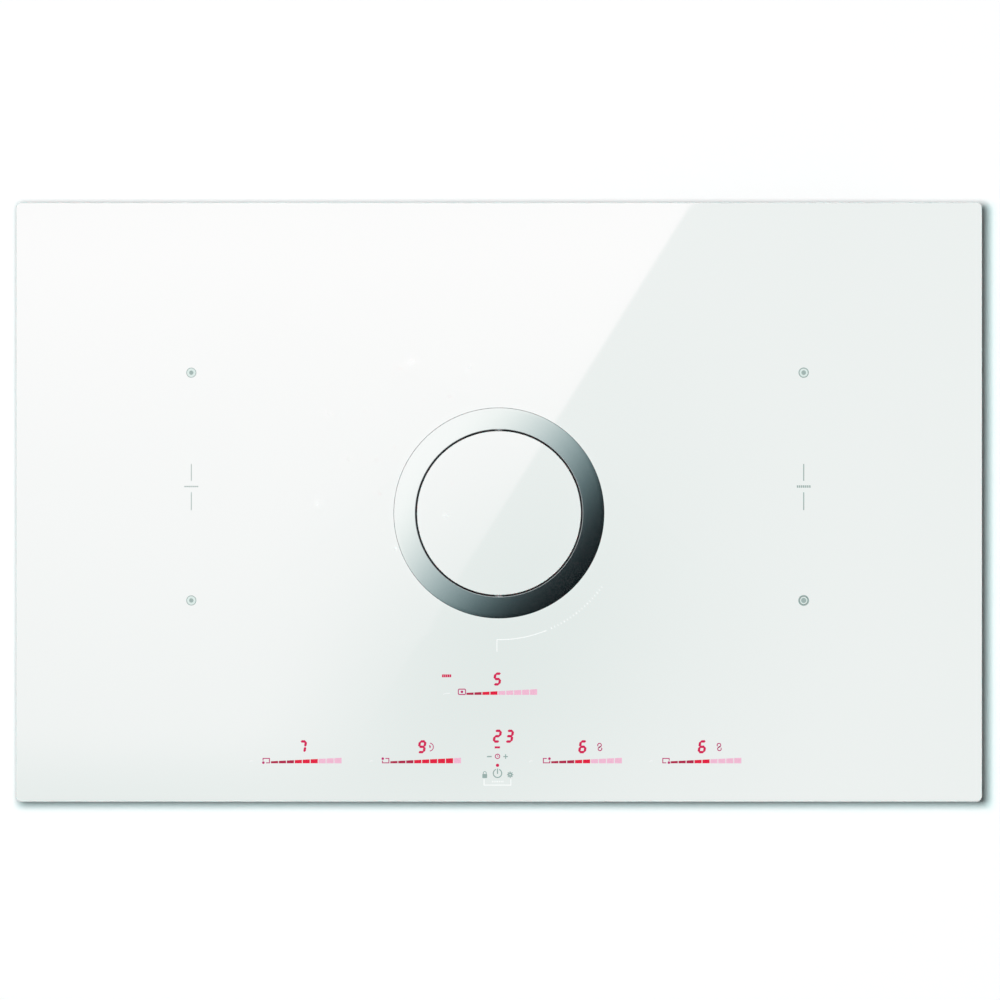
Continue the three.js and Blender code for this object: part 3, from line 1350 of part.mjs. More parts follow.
for (const [side, x] of [
  ["left", -zoneX],
  ["right", zoneX],
]) {
  const module = assembly(x, zoneY, 0);
  add(module, `coil_plate_${side}`, coilPlate(), aluminium);
  for (const [end, y] of [
    ["rear", zoneSpacing / 2],
    ["front", -zoneSpacing / 2],
  ]) {
    add(module, `coil_former_${side}_${end}`, coilFormer(), greyPlastic, 0, y, 0);
    add(module, `coil_${side}_${end}`, coil(), copper, 0, y, 0);
    add(module, `coil_sensor_${side}_${end}`, coilSensor(), paleGrey, 0, y, 0);
  }
}

// ------------------------------------------------------------------------------ power electronics

const boardLow = casingFloor + BOARD_STANDOFF;
const boardTop = boardLow + BOARD_THICKNESS;

// A power board on its posts, with filter choke, capacitors and relays.
function powerBoard() {
  const halfWidth = BOARD_WIDTH / 2;
  const halfDepth = BOARD_DEPTH / 2;
  const sheet = box(-halfWidth, halfWidth, -halfDepth, halfDepth, boardLow, boardTop);
  const postX = halfWidth - BOARD_POST_INSET;
  const postY = halfDepth - BOARD_POST_INSET;
  const posts = [-postX, postX].flatMap((x) =>
    [-postY, postY].map((y) =>
      rod(BOARD_POST_RADIUS, casingFloor + SEAT_GAP, boardLow + ROOT, 8).translate(x, y, 0),
    ),
  );
  const sunk = boardTop - ROOT;
  const block = ([width, depth, height], [x, y]) =>
    box(x - width / 2, x + width / 2, y - depth / 2, y + depth / 2, sunk, boardTop + height);
  const capacitors = CAPACITORS.map(([x, y]) =>
    rod(CAPACITOR_RADIUS, sunk, boardTop + CAPACITOR_HEIGHT, 8).translate(x, y, 0),
  );
  const relays = RELAYS.map((place) => block(RELAY, place));
  return join(sheet, ...posts, ...capacitors, ...relays, block(CHOKE, CHOKE_AT), block(SOCKET, SOCKET_AT));
}

// An extruded heat sink: a base with upright fins, as a comb pulled along Y.
function heatSink() {
  const low = boardTop + SEAT_GAP;
  const pitch = (SINK_WIDTH - SINK_FIN_THICKNESS) / (SINK_FINS - 1);
  const comb = [
    [SINK_WIDTH / 2, low],
    ...spread(SINK_FINS, pitch)
      .reverse()
      .flatMap((x) => [
        [x + SINK_FIN_THICKNESS / 2, low + SINK_BASE],
        [x + SINK_FIN_THICKNESS / 2, low + SINK_HEIGHT],
        [x - SINK_FIN_THICKNESS / 2, low + SINK_HEIGHT],
        [x - SINK_FIN_THICKNESS / 2, low + SINK_BASE],
      ])
      .slice(1, -1),
    [-SINK_WIDTH / 2, low],
  ];
  return prism(polygon(comb), -SINK_LENGTH / 2, SINK_LENGTH / 2).rotateX(Math.PI / 2);
}

const coolingFanLow = casingFloor + SEAT_GAP;
const coolingFanHigh = coolingFanLow + COOLING_FAN_THICKNESS;
const hubPlateTop = coolingFanLow + COOLING_FAN_HUB_PLATE;

// A cooling fan's square frame, with a hub plate on four struts that carries the spindle.
function coolingFanFrame() {
  const low = coolingFanLow;
  const reach = COOLING_FAN_BORE_RADIUS + ROOT;
  const half = COOLING_FAN_STRUT_WIDTH / 2;
  const outline = roundedRect(COOLING_FAN_SIZE, COOLING_FAN_SIZE, COOLING_FAN_CORNER);
  const block = prism(outline, low, coolingFanHigh, 1);
  const bore = rod(COOLING_FAN_BORE_RADIUS, low - OVERRUN, coolingFanHigh + OVERRUN, 16);
  const hub = rod(COOLING_FAN_HUB_RADIUS, low, hubPlateTop);
  const struts = [0, Math.PI / 2].map((angle) =>
    box(-reach, reach, -half, half, low, hubPlateTop).rotateZ(angle + Math.PI / 4),
  );
  const spindle = rod(SPINDLE_RADIUS, hubPlateTop - ROOT, coolingFanHigh - SPINDLE_DROP, 10);
  return join(cut(block, bore), hub, ...struts, spindle);
}

// A cooling fan's rotor: a cup over the spindle with pitched blades.
function coolingFanRotor() {
  const low = hubPlateTop + SEAT_GAP;
  const high = coolingFanHigh - COOLING_FAN_FACE_GAP;
  const hub = rod(COOLING_FAN_HUB_RADIUS, low, high);
  const boreTop = coolingFanHigh - SPINDLE_DROP + SEAT_GAP;
  const bore = rod(SPINDLE_RADIUS + SEAT_GAP, low - OVERRUN, boreTop, 10);
  const halfChord = COOLING_FAN_BLADE_CHORD / 2;
  const half = COOLING_FAN_BLADE_THICKNESS / 2;
  const tip = COOLING_FAN_BORE_RADIUS * Math.cos(Math.PI / 16) - COOLING_FAN_TIP_GAP;
  const reach = Math.sqrt(tip ** 2 - halfChord ** 2);
  const root = COOLING_FAN_HUB_RADIUS * Math.cos(Math.PI / 12) - ROOT;
  const blades = turns(COOLING_FAN_BLADES).map((angle) => {
    const blade = box(root, reach, -halfChord, halfChord, -half, half);
    blade.rotateX(radians(COOLING_FAN_BLADE_PITCH));
    return blade.rotateZ(angle).translate(0, 0, (low + high) / 2);
  });
  return cut(join(hub, ...blades), bore);
}

for (const [side, boardX, coolingX] of [
  ["left", -zoneX, -coolingFanX],
  ["right", zoneX, coolingFanX],
]) {
  const electronics = assembly(boardX, zoneY - BOARD_FORWARD, 0);
  add(electronics, `power_board_${side}`, powerBoard(), circuitBoard);
  add(electronics, `heat_sink_${side}`, heatSink(), aluminium, ...SINK_AT, 0);
  const cooling = assembly(coolingX, coolingFanY, 0);
  add(cooling, `cooling_fan_frame_${side}`, coolingFanFrame(), blackPlastic);
  add(cooling, `cooling_fan_rotor_${side}`, coolingFanRotor(), blackPlastic);
}

// ------------------------------------------------------------------------------ touch controls

const touchTop = glassUnder - SEAT_GAP;
const touchLow = touchTop - TOUCH_HEIGHT;

// The plan of the controls: a bar along the front and a stem up to the extractor's own slider.
function touchShape(inset) {
  const halfBar = TOUCH_WIDTH / 2 - inset;
  const halfStem = TOUCH_STEM_WIDTH / 2 - inset;
  const front = touchFront + inset;
  const back = touchBack - inset;
  const stemBack = touchBack + TOUCH_STEM_DEPTH - inset;
  return polygon([
    [-halfBar, front],
    [halfBar, front],
    [halfBar, back],
    [halfStem, back],
    [halfStem, stemBack],
    [-halfStem, stemBack],
    [-halfStem, back],
    [-halfBar, back],
  ]);
}

function touchHolder() {
  const tray = cut(
    prism(touchShape(0), touchLow, touchTop),
    prism(touchShape(TOUCH_WALL), touchLow + TOUCH_WALL, touchTop + OVERRUN),
  );
  const outer = TOUCH_WIDTH / 2 - TOUCH_POST_INSET;
  const inner = TOUCH_POST_SPACING / 2;
  const posts = [-outer, -inner, inner, outer].map((x) =>
    rod(TOUCH_POST_RADIUS, casingFloor + SEAT_GAP, touchLow + ROOT, 8).translate(
      x,
      (touchFront + touchBack) / 2,
      0,
    ),
  );
  return join(tray, ...posts);
}

// The board, with a block of light guides under each lit slider and under the timer.
function touchBoard() {
  const low = touchLow + TOUCH_WALL + SEAT_GAP;
  const board = prism(touchShape(TOUCH_WALL + SEAT_GAP), low, low + BOARD_THICKNESS);
  const guide = (x, inset, width, depth) => {
    const y = glassFront + inset;
    return box(x - width / 2, x + width / 2, y - depth / 2, y + depth / 2, low + ROOT, touchTop);
  };
  const slider = (x, inset) => guide(x, inset, TOUCH_LIGHT_WIDTH, TOUCH_LIGHT_DEPTH);
  const sliders = TOUCH_LIGHT_X.map((x) => slider(x, TOUCH_LIGHT_INSET));
  const timer = guide(TIMER_LIGHT_X, TIMER_LIGHT_INSET, TIMER_LIGHT_WIDTH, TIMER_LIGHT_DEPTH);
  return join(board, ...sliders, timer, slider(0, HOOD_LIGHT_INSET));
}

const controls = assembly();
add(controls, "touch_board_holder", touchHolder(), blackPlastic);
add(controls, "touch_board", touchBoard(), circuitBoard);

// ------------------------------------------------------------------------------ mains terminals

const mains = assembly(terminalX, terminalY, 0);
const terminalTop = casingBottom - SEAT_GAP;
const terminalLow = terminalTop - TERMINAL_HEIGHT;
const glandZ = terminalLow + GLAND_TO_COVER + GLAND_RADIUS;
const terminalShape = (inset) =>
  roundedRect(TERMINAL_WIDTH - 2 * inset, TERMINAL_DEPTH - 2 * inset, TERMINAL_CORNER - inset);

function terminalBox() {
  const shell = prism(terminalShape(0), terminalLow, terminalTop);
  const hollow = prism(terminalShape(PLASTIC_WALL), terminalLow - OVERRUN, terminalTop - PLASTIC_WALL);
  const wires = rod(WIRE_HOLE_RADIUS, terminalLow, terminalTop + OVERRUN);
  const glandHole = alongX(rod(GLAND_THREAD_RADIUS + SEAT_GAP, -TERMINAL_WIDTH, -TERMINAL_WIDTH / 4, 16));
  return cut(shell, hollow, wires.translate(0, WIRE_HOLE_SETBACK, 0), glandHole.translate(0, 0, glandZ));
}

function terminalCover() {
  const high = terminalLow - SEAT_GAP;
  const low = high - PLASTIC_WALL;
  const front = -TERMINAL_DEPTH / 2;
  const half = TERMINAL_TAB_WIDTH / 2;
  const tab = box(-half, half, front - TERMINAL_TAB_REACH, front + ROOT, low, high);
  return join(prism(terminalShape(0), low, high), tab);
}

function terminalBlock() {
  const high = terminalTop - PLASTIC_WALL - SEAT_GAP;
  const low = high - TERMINAL_BLOCK_HEIGHT;
  const half = TERMINAL_BLOCK_WIDTH / 2;
  const body = box(-half, half, -TERMINAL_BLOCK_DEPTH / 2, TERMINAL_BLOCK_DEPTH / 2, low, high);
  const pitch = TERMINAL_BLOCK_WIDTH / TERMINAL_POLES;
  const wellTop = low + TERMINAL_WELL_DEPTH;
  const well = (x) => rod(TERMINAL_WELL_RADIUS, low - OVERRUN, wellTop, 10).translate(x, 0, 0);
  return cut(body, ...spread(TERMINAL_POLES, pitch).map(well));
}

// The cable gland in the box's side wall: a threaded body and its hexagonal dome nut, bored for the cable.
function cableGland() {
  const wall = TERMINAL_WIDTH / 2;
  const inside = -wall + PLASTIC_WALL + GLAND_THREAD_REACH;
  const outside = -wall - GLAND_LENGTH;
  const body = rod(GLAND_THREAD_RADIUS, -wall - SEAT_GAP - ROOT, inside, 16);
  const nut = rod(GLAND_RADIUS, outside, -wall - SEAT_GAP, 6);
  const bore = rod(GLAND_BORE_RADIUS, outside - OVERRUN, inside + OVERRUN);
  return cut(join(alongX(body), alongX(nut)), alongX(bore));
}

add(mains, "terminal_box", terminalBox(), blackPlastic);
add(mains, "terminal_cover", terminalCover(), greyPlastic);
add(mains, "terminal_block", terminalBlock(), paleGrey, 0, -TERMINAL_BLOCK_FORWARD, 0);
add(mains, "cable_gland", cableGland(), blackPlastic, 0, 0, glandZ);

export default cooktop;
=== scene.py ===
"""Downdraft induction hob: a white glass top with four cooking zones and, in its middle, a steel ring
with a tilting glass flap over the grease filter. Under the glass are the steel casing with the coils,
the air box and the fan with its duct spigot. Millimetres, Z up, X to the cook's right, Y to the back."""

from math import cos, hypot, pi, radians, sin, tan

import bpy
import numpy as np
from mathutils import Matrix, Vector
from mathutils.geometry import tessellate_polygon


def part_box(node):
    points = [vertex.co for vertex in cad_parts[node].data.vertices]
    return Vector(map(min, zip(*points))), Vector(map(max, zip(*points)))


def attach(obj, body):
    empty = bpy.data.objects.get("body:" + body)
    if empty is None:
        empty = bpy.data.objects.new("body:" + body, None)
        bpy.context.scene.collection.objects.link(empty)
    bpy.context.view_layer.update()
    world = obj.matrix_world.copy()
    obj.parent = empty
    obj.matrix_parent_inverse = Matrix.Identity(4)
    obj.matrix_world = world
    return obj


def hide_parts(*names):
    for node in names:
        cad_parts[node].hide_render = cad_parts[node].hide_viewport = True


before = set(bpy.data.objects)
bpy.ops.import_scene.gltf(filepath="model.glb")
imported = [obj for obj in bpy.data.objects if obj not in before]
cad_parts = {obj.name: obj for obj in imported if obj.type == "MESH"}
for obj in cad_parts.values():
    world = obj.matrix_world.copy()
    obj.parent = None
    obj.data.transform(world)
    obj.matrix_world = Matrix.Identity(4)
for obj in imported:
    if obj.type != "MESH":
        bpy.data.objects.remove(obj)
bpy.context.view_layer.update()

# ---- glass top
# One plate of 4 mm glass-ceramic, coated white from below, with a hole for the intake.
# Its edge and the hole's are ground to a narrow round and polished.

MM = 0.001
GLASS_LOW, GLASS_LEVEL = 208, 212
INTAKE_Y = -9.5


def polar(x, y, radius, angle):
    """The point at a radius and an angle from x, y."""
    return x + radius * cos(angle), y + radius * sin(angle)


def rounded_rect(width, depth, radius, x=0, y=0, steps=8):
    """A loop of points round a rectangle with round corners, counter-clockwise."""
    loop = []
    for side, end, quarter in ((1, 1, 0), (-1, 1, 1), (-1, -1, 2), (1, -1, 3)):
        for step in range(steps + 1):
            angle = (quarter + step / steps) * pi / 2
            middle = x + side * (width / 2 - radius), y + end * (depth / 2 - radius)
            loop.append(polar(*middle, radius, angle))
    return loop


def circle(radius, x=0, y=0, count=96):
    return [polar(x, y, radius, 2 * pi * k / count) for k in range(count)]


def hole(loop):
    """A loop that bounds a hole runs clockwise."""
    return loop[::-1]


def moved_in(loop, distance):
    """A closed loop with each side moved to its left, which is into the material."""
    points = np.array(loop, float)
    back = points - np.roll(points, 1, 0)
    back /= np.maximum(np.linalg.norm(back, axis=1, keepdims=True), 1e-9)
    ahead = np.roll(back, -1, 0)
    left = np.stack([-back[:, 1], back[:, 0]], 1) + np.stack([-ahead[:, 1], ahead[:, 0]], 1)
    share = 1 + (back * ahead).sum(1, keepdims=True)
    return points + distance * left / np.maximum(share, 0.3)


def loft(loops, levels):
    """A body whose outline and holes rise through levels of (how far they move in, height).
    The first level is closed by a face that looks down, the last by one that looks up."""
    points, faces, lowest, highest = [], [], [], []
    for loop in loops:
        start, count = len(points), len(loop)
        for inset, height in levels:
            points.extend((x, y, height) for x, y in moved_in(loop, inset))
        end = len(points) - count
        for a in range(start, end, count):
            b = a + count
            faces.extend((a + i, a + (i + 1) % count, b + (i + 1) % count, b + i) for i in range(count))
        lowest.append(range(start, start + count))
        highest.append(range(end, end + count))
    for rows, up in ((lowest, False), (highest, True)):
        index = [i for row in rows for i in row]
        flat = [[Vector((*points[i][:2], 0)) for i in row] for row in rows]
        for corners in tessellate_polygon(flat):
            a, b, c = (index[i] for i in corners)
            (ax, ay, _), (bx, by, _), (cx, cy, _) = points[a], points[b], points[c]
            upward = (bx - ax) * (cy - ay) - (by - ay) * (cx - ax) > 0
            faces.append((a, b, c) if upward == up else (a, c, b))
    return points, faces


def slab(loops, low, high, round_off=0.3, steps=3):
    """A plate between two heights, its lower and upper edges rounded."""
    if not round_off:
        return loft(loops, [(0, low), (0, high)])
    turn = [k * pi / 2 / steps for k in range(steps + 1)]
    lower = [(round_off * (1 - sin(t)), low + round_off * (1 - cos(t))) for t in turn]
    upper = [(round_off * (1 - cos(t)), high - round_off * (1 - sin(t))) for t in turn]
    return loft(loops, lower + upper)


def joined(*bodies):
    """Several bodies as one list of points and faces."""
    points, faces = [], []
    for own_points, own_faces in bodies:
        start = len(points)
        points.extend(own_points)
        faces.extend(tuple(start + i for i in face) for face in own_faces)
    return points, faces


def placed(name, data):
    """An object of the scene with a mesh, a lamp or a camera for its data."""
    thing = bpy.data.objects.new(name, data)
    bpy.context.scene.collection.objects.link(thing)
    return thing


def piece(name, body, slot, stands_for, finish, *bodies):
    """An object of the hob in one finish. It rides on a body of the frame and stands for the node named,
    if there is one, which it hides. The slot argument is not used."""
    mesh = bpy.data.meshes.new(name)
    mesh.materials.append(finish)
    points, faces = joined(*bodies)
    mesh.from_pydata([(x * MM, y * MM, z * MM) for x, y, z in points], [], faces)
    mesh.polygons.foreach_set("use_smooth", [True] * len(faces))
    mesh.set_sharp_from_angle(angle=radians(38))
    thing = placed(name, mesh)
    thing.modifiers.new("even_shading", "WEIGHTED_NORMAL").keep_sharp = True
    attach(thing, body)
    if stands_for:
        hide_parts(stands_for)


def new_finish(name, colour, roughness, **sockets):
    """A surface with its plain values set. Returns its shader, to which textures are wired."""
    finish = bpy.data.materials.new(name)
    finish.use_nodes = True
    shader = finish.node_tree.nodes["Principled BSDF"]
    shader.inputs["Base Color"].default_value = (*colour, 1)
    shader.inputs["Roughness"].default_value = roughness
    for socket, value in sockets.items():
        shader.inputs[socket.replace("_", " ")].default_value = value
    return finish, shader


def wire(shader, kind, inputs, output=0, **settings):
    """A node in the shader's tree, its inputs set to values or wired to outputs. Gives one output.
    A shader node goes by the short form of its kind."""
    tree = shader.id_data
    made = tree.nodes.new(kind if "Node" in kind else "ShaderNode" + kind)
    for setting, value in settings.items():
        setattr(made, setting, value)
    for socket, value in inputs.items():
        if isinstance(value, bpy.types.NodeSocket):
            tree.links.new(value, made.inputs[socket])
        else:
            made.inputs[socket].default_value = value
    return made.outputs[output]


def feed(shader, socket, value):
    shader.id_data.links.new(value, shader.inputs[socket])


def place_of(shader, stretch=(1, 1, 1)):
    """The point on the piece in metres, stretched so that a texture runs along one axis."""
    point = wire(shader, "TexCoord", {}, "Object")
    return wire(shader, "Mapping", {"Vector": point, "Scale": stretch})


def blend(shader, share, low, high):
    return wire(shader, "Mix", {"Factor": share, "A": low, "B": high}, 2, data_type="RGBA")


def shades(colour, dark, light):
    """A darker and a lighter shade of a colour."""
    return tuple(c * dark for c in colour), tuple(min(1, c * light) for c in colour)


def textured(shader, texture, tones=None, smooth=None, depth=0):
    """One texture sets what is given: a darker and a lighter tone of the colour, the least and the
    most roughness, and how far the texture stands up from the surface in millimetres."""
    if tones:
        low, high = ((*tone, 1) for tone in tones)
        feed(shader, "Base Color", blend(shader, texture, low, high))
    if smooth:
        span = {"Value": texture, "To Min": smooth[0], "To Max": smooth[1]}
        feed(shader, "Roughness", wire(shader, "MapRange", span))
    if depth:
        bump = {"Height": texture, "Distance": depth * MM, "Strength": 1.0}
        feed(shader, "Normal", wire(shader, "Bump", bump))


def noise(shader, scale, stretch=(1, 1, 1), detail=4.0):
    """A cloudy texture with scale patches to the metre."""
    cloud = {"Vector": place_of(shader, stretch), "Scale": scale, "Detail": detail, "Roughness": 0.5}
    return wire(shader, "TexNoise", cloud)


def grained(
    name, colour, roughness, scale, tones, smooth=None, depth=0, stretch=(1, 1, 1), detail=4.0, **own
):
    """A surface whose tint, gloss and relief follow one cloudy texture."""
    finish, shader = new_finish(name, colour, roughness, **own)
    textured(shader, noise(shader, scale, stretch, detail), tones, smooth, depth)
    return finish


coat = {"Coat_Weight": 1.0, "Coat_Roughness": 0.01, "Coat_IOR": 1.6}
white_glass, shader = new_finish("white_glass", (0.801, 0.856, 0.837), 0.01, IOR=1.66, **coat)
textured(shader, noise(shader, 5.0, detail=2.0), [(0.796, 0.852, 0.831), (0.806, 0.861, 0.841)])
textured(shader, noise(shader, 60.0), smooth=(0.008, 0.014))

glass_outline = rounded_rect(830, 515, 5, steps=12)
glass = slab([glass_outline, hole(circle(80, 0, INTAKE_Y, 160))], GLASS_LOW, GLASS_LEVEL, 0.8, 4)
piece("hob_glass", "chassis", "glass_ceramic", "glass_top", white_glass, glass)

# ---- foam edge seal
# A strip of closed-cell foam stuck under the edge of the glass, which lies on the worktop.
# It is soft, so its sides bulge a little and its skin is pored.

foam_skin, shader = new_finish("foam_skin", (0.016, 0.017, 0.018), 0.9)
pores = wire(shader, "TexVoronoi", {"Vector": place_of(shader), "Scale": 1400.0})
textured(shader, pores, [(0.010, 0.011, 0.012), (0.026, 0.027, 0.029)], depth=0.25)

strip = slab([rounded_rect(822, 507, 5), hole(rounded_rect(804, 489, 5))], 204.7, 207.9, 1.1, 5)
piece("foam_seal", "chassis", "foam", "edge_seal", foam_skin, strip)

# ---- printed marks
# Enamel printed on the glass and fired in: a ring and a dot in the middle of each zone, lines that
# bridge the two zones of a side, and white guides round the intake and under the controls.

PRINT_LOW, PRINT_HIGH = 211.99, 212.03


def stroke(points, width, closed=False):
    """The loops of a line of even width along points: one loop, or an outline and a hole if closed."""
    line = np.array(points, float)
    half = width / 2
    if closed:
        return [[*map(tuple, moved_in(line, -half))], hole([*map(tuple, moved_in(line, half))])]
    steps = np.diff(line, axis=0)
    steps /= np.linalg.norm(steps, axis=1, keepdims=True)
    before, after = np.vstack([steps[:1], steps]), np.vstack([steps, steps[-1:]])
    left = np.stack([-(before + after)[:, 1], (before + after)[:, 0]], 1)
    left *= half / (1 + (before * after).sum(1, keepdims=True))
    return [[*map(tuple, line - left), *map(tuple, (line + left)[::-1])]]


def bow(x, y, radius, start, end, count=24):
    """Points along an arc, angles in degrees from +X."""
    return [polar(x, y, radius, radians(start + (end - start) * k / count)) for k in range(count + 1)]


def printed(name, ink, *shapes):
    """Shapes of enamel, each a list of loops, as one piece on the glass."""
    coats = [slab(loops, PRINT_LOW, PRINT_HIGH, 0) for loops in shapes]
    piece(name, "chassis", "glass_ceramic", None, ink, *coats)


def enamel(name, colour, spread=0.05):
    return grained(name, colour, 0.25, 900.0, shades(colour, 1 - spread, 1 + spread))


grey_enamel = enamel("grey_enamel", (0.33, 0.42, 0.40))
white_enamel = enamel("white_enamel", (0.93, 0.95, 0.94), 0.02)

LEFT_X, RIGHT_X, REAR_Y, FRONT_Y = -264.3, 261.8, 111.1, -84.6
zone_shapes, zone_fills = [], []
corners = ((LEFT_X, REAR_Y, 0.6), (LEFT_X, FRONT_Y, 0.65), (RIGHT_X, REAR_Y, 0.9), (RIGHT_X, FRONT_Y, 1.35))
for x, y, weight in corners:
    dot = circle(1.45 + 0.6 * weight, x, y, 24)
    zone_shapes += [stroke(circle(4.0, x, y, 40), weight, True), [dot]]
    zone_fills.append([circle(3.6, x, y, 40), hole(dot)])
for x, fine, bold in ((LEFT_X, 0.7, 1.15), (RIGHT_X, 0.95, 2.1)):
    zone_shapes += [stroke([(x, low), (x, high)], fine) for low, high in ((18.2, 32.7), (-7.0, 8.3))]
    for start in (x - 5.9 + 1.75 * k for k in range(7)):
        zone_shapes.append(stroke([(start, 13.3), (start + 1.3, 13.3)], bold))
printed("zone_marks", grey_enamel, *zone_shapes)
printed("zone_eyes", enamel("pale_enamel", (0.68, 0.78, 0.75)), *zone_fills)

guide_shapes = [
    stroke([(-1.7, -128.5), *bow(0, INTAKE_Y, 108.8, -90.9, -68)], 0.7),
    stroke([(-12.8, -238.2), (-12.8, -243.2), (10.2, -243.2), (10.2, -238.2)], 0.8),
]
for k in range(19):
    tick = [polar(0, INTAKE_Y, r, radians(-65.5 + 1.65 * k)) for r in (107.9, 109.6)]
    guide_shapes.append(stroke(tick, 0.55 if k % 4 else 0.9))
guide_shapes += [stroke([(-5.6 + 1.5 * k, -240.9), (-5.6 + 1.5 * k, -239.6)], 0.75) for k in range(7)]
printed("guide_lines", white_enamel, *guide_shapes)
faint_lines = [[(x - 1.4, -223.3), (x, -222.2), (x + 1.4, -222.6)] for x in (-212.9, -109.9, 27.5, 130.6)]
faint_lines.append([(-48, -165.2), (-45, -164.4), (-42.2, -164.2)])
faint_enamel = enamel("faint_enamel", (0.86, 0.87, 0.87), 0.02)
printed("faint_arrows", faint_enamel, *[stroke(line, 0.6) for line in faint_lines])

# ---- touch sliders
# Four sliders of nine rising bars, one for each zone, and a fifth for the extractor. Red lamps behind
# the glass light the bars up to the level set, and a seven-segment digit shows it.


def lamp_red(name, colour, glow):
    """Light that comes through the coated glass, evenly, from a lamp behind it."""
    light = {"Emission_Strength": glow, "Emission_Color": (*colour, 1)}
    return grained(name, colour, 0.3, 700.0, shades(colour, 0.9, 1.08), **light)


lit_red = lamp_red("lit_red", (0.64, 0.003, 0.036), 0.12)
digit_red = lamp_red("digit_red", (0.56, 0.006, 0.072), 0.09)
deep_red = lamp_red("deep_red", (0.38, 0.006, 0.05), 0.05)
pale_red = lamp_red("pale_red", (0.83, 0.46, 0.61), 0.02)

SEGMENTS = {
    "a": (0, 1, 1, 1), "b": (1, 1, 1, 0.5), "c": (1, 0.5, 1, 0), "d": (0, 0, 1, 0),
    "e": (0, 0.5, 0, 0), "f": (0, 1, 0, 0.5), "g": (0, 0.5, 1, 0.5),
}
DIGITS = {"2": "abged", "3": "abgcd", "5": "afgcd", "6": "afgecd", "7": "abc", "9": "abcdfg"}
DIGIT_WIDTH, DIGIT_HEIGHT, DIGIT_SLANT, BAR_HALF = 4.7, 9.2, 0.15, 1.06


def digit(sign, x, y):
    """The lit bars of a seven-segment digit whose middle is at x, y. Each bar has pointed ends."""
    shapes = []
    for segment in DIGITS[sign]:
        sides = (DIGIT_WIDTH, DIGIT_HEIGHT) * 2
        ax, ay, bx, by = ((u - 0.5) * side for u, side in zip(SEGMENTS[segment], sides))
        length, half = hypot(bx - ax, by - ay), BAR_HALF
        ux, uy = (bx - ax) / length, (by - ay) / length
        near, far = half - 0.08, length - half + 0.08
        outline = [(0.06, 0), (near, -half), (far, -half), (length - 0.06, 0), (far, half), (near, half)]
        turned = [(ax + s * ux - t * uy, ay + s * uy + t * ux) for s, t in outline]
        shapes.append([[(x + px + DIGIT_SLANT * py, y + py) for px, py in turned]])
    return shapes


def slider(x, y, level, tallest):
    """Nine bars that rise from left to right: those that are lit, and the pale ones beyond."""
    bars = []
    for k in range(9):
        left, right = x + 6.82 * k - 0.12, x + 6.82 * k + 6.05
        rise = [1.75 + (tallest - 1.75) * (u - x) / 60.4 for u in (left, right)]
        bars.append([[(left, y), (right, y), (right, y + rise[1]), (left, y + rise[0])]])
    return bars[:level], bars[level:]


def zone_sign(x, y, side, end):
    """A small outline of the hob, open at the corner where a dot stands for the zone."""
    corners = ((-0.1, 1), (1, 1), (1, -1), (-1, -1), (-1, 0.0))
    line = [(x - side * 2.75 * u, y + end * 1.9 * v) for u, v in corners]
    return [stroke(line, 0.8), [circle(1.15, x + side * 2.5, y + end * 1.7, 16)]]


lit_shapes, digit_shapes, deep_shapes, pale_shapes, sign_shapes = [], [], [], [], []
for x, y, level, tallest, deep, figure, dot in (
    (-195.8, -224.5, 6, 4.75, 3, "7", (-1, -1)),
    (-93.2, -224.5, 8, 4.75, 3, "9", (-1, 1)),
    (45.0, -224.5, 5, 4.75, 3, "6", (1, 1)),
    (147.6, -224.5, 5, 4.75, 3, "6", (1, -1)),
    (-27.8, -165.7, 4, 4.95, 2, "5", None),
):
    lit, pale = slider(x, y, level, tallest)
    deep_shapes += lit[:deep]
    lit_shapes += lit[deep:]
    pale_shapes += pale
    digit_shapes += digit(figure, x + 27.0, -210.3) if dot else digit(figure, -1.4, -152.1)
    sign_shapes += zone_sign(x - 4.1, -222.2, *dot) if dot else []
sign_shapes += [
    stroke(rounded_rect(6.2, 4.6, 0.9, -31.8, -163.1, 4), 0.85, True),
    [circle(1.15, -31.8, -163.1, 20)],
]

# ---- timer and signs
# Between the sliders stand the timer's two digits with minus, clock and plus, and under them the
# power sign with the child lock and the cleaning pause. Bridge and booster signs follow the digits.

KEY_X = -1.25
digit_shapes += digit("2", -1.4, -201.2) + digit("3", 9.0, -201.2)
digit_shapes += [
    stroke([(-3.7, -210.8), (0.9, -210.8)], 1.75),
    *[stroke([(-48.3 + 1.62 * k, -150.6), (-48.1 + 1.62 * k, -148.1)], 1.4) for k in range(5)],
    [circle(1.42, KEY_X, -226.2, 24)],
]
sign_shapes += [
    stroke(circle(1.9, KEY_X, -218.5, 32), 0.75, True),
    stroke([(KEY_X, -218.5), (KEY_X, -217.2)], 0.45),
    stroke([(KEY_X, -218.5), (-0.4, -218.9)], 0.4),
]
for x in (86.6, 189.2):
    sign_shapes.append(stroke([*bow(x - 0.2, -208.9, 1.55, 220, -45), (x - 0.6, -211.2)], 0.82))
    sign_shapes.append(stroke([*bow(x + 0.2, -212.1, 1.55, 40, -225), (x + 0.6, -209.8)], 0.82))
sign_shapes += [
    stroke(bow(-59.8, -210.5, 3.45, -84, 80, 24), 0.75),
    stroke(bow(-60.1, -210.3, 1.0, -60, 80, 8), 1.1),
]
printed("lit_bars", lit_red, *lit_shapes)
printed("digits", digit_red, *digit_shapes)
printed("low_bars", deep_red, *deep_shapes)
printed("pale_bars", pale_red, *pale_shapes)
printed("red_signs", lamp_red("sign_red", (0.46, 0.02, 0.14), 0.05), *sign_shapes)

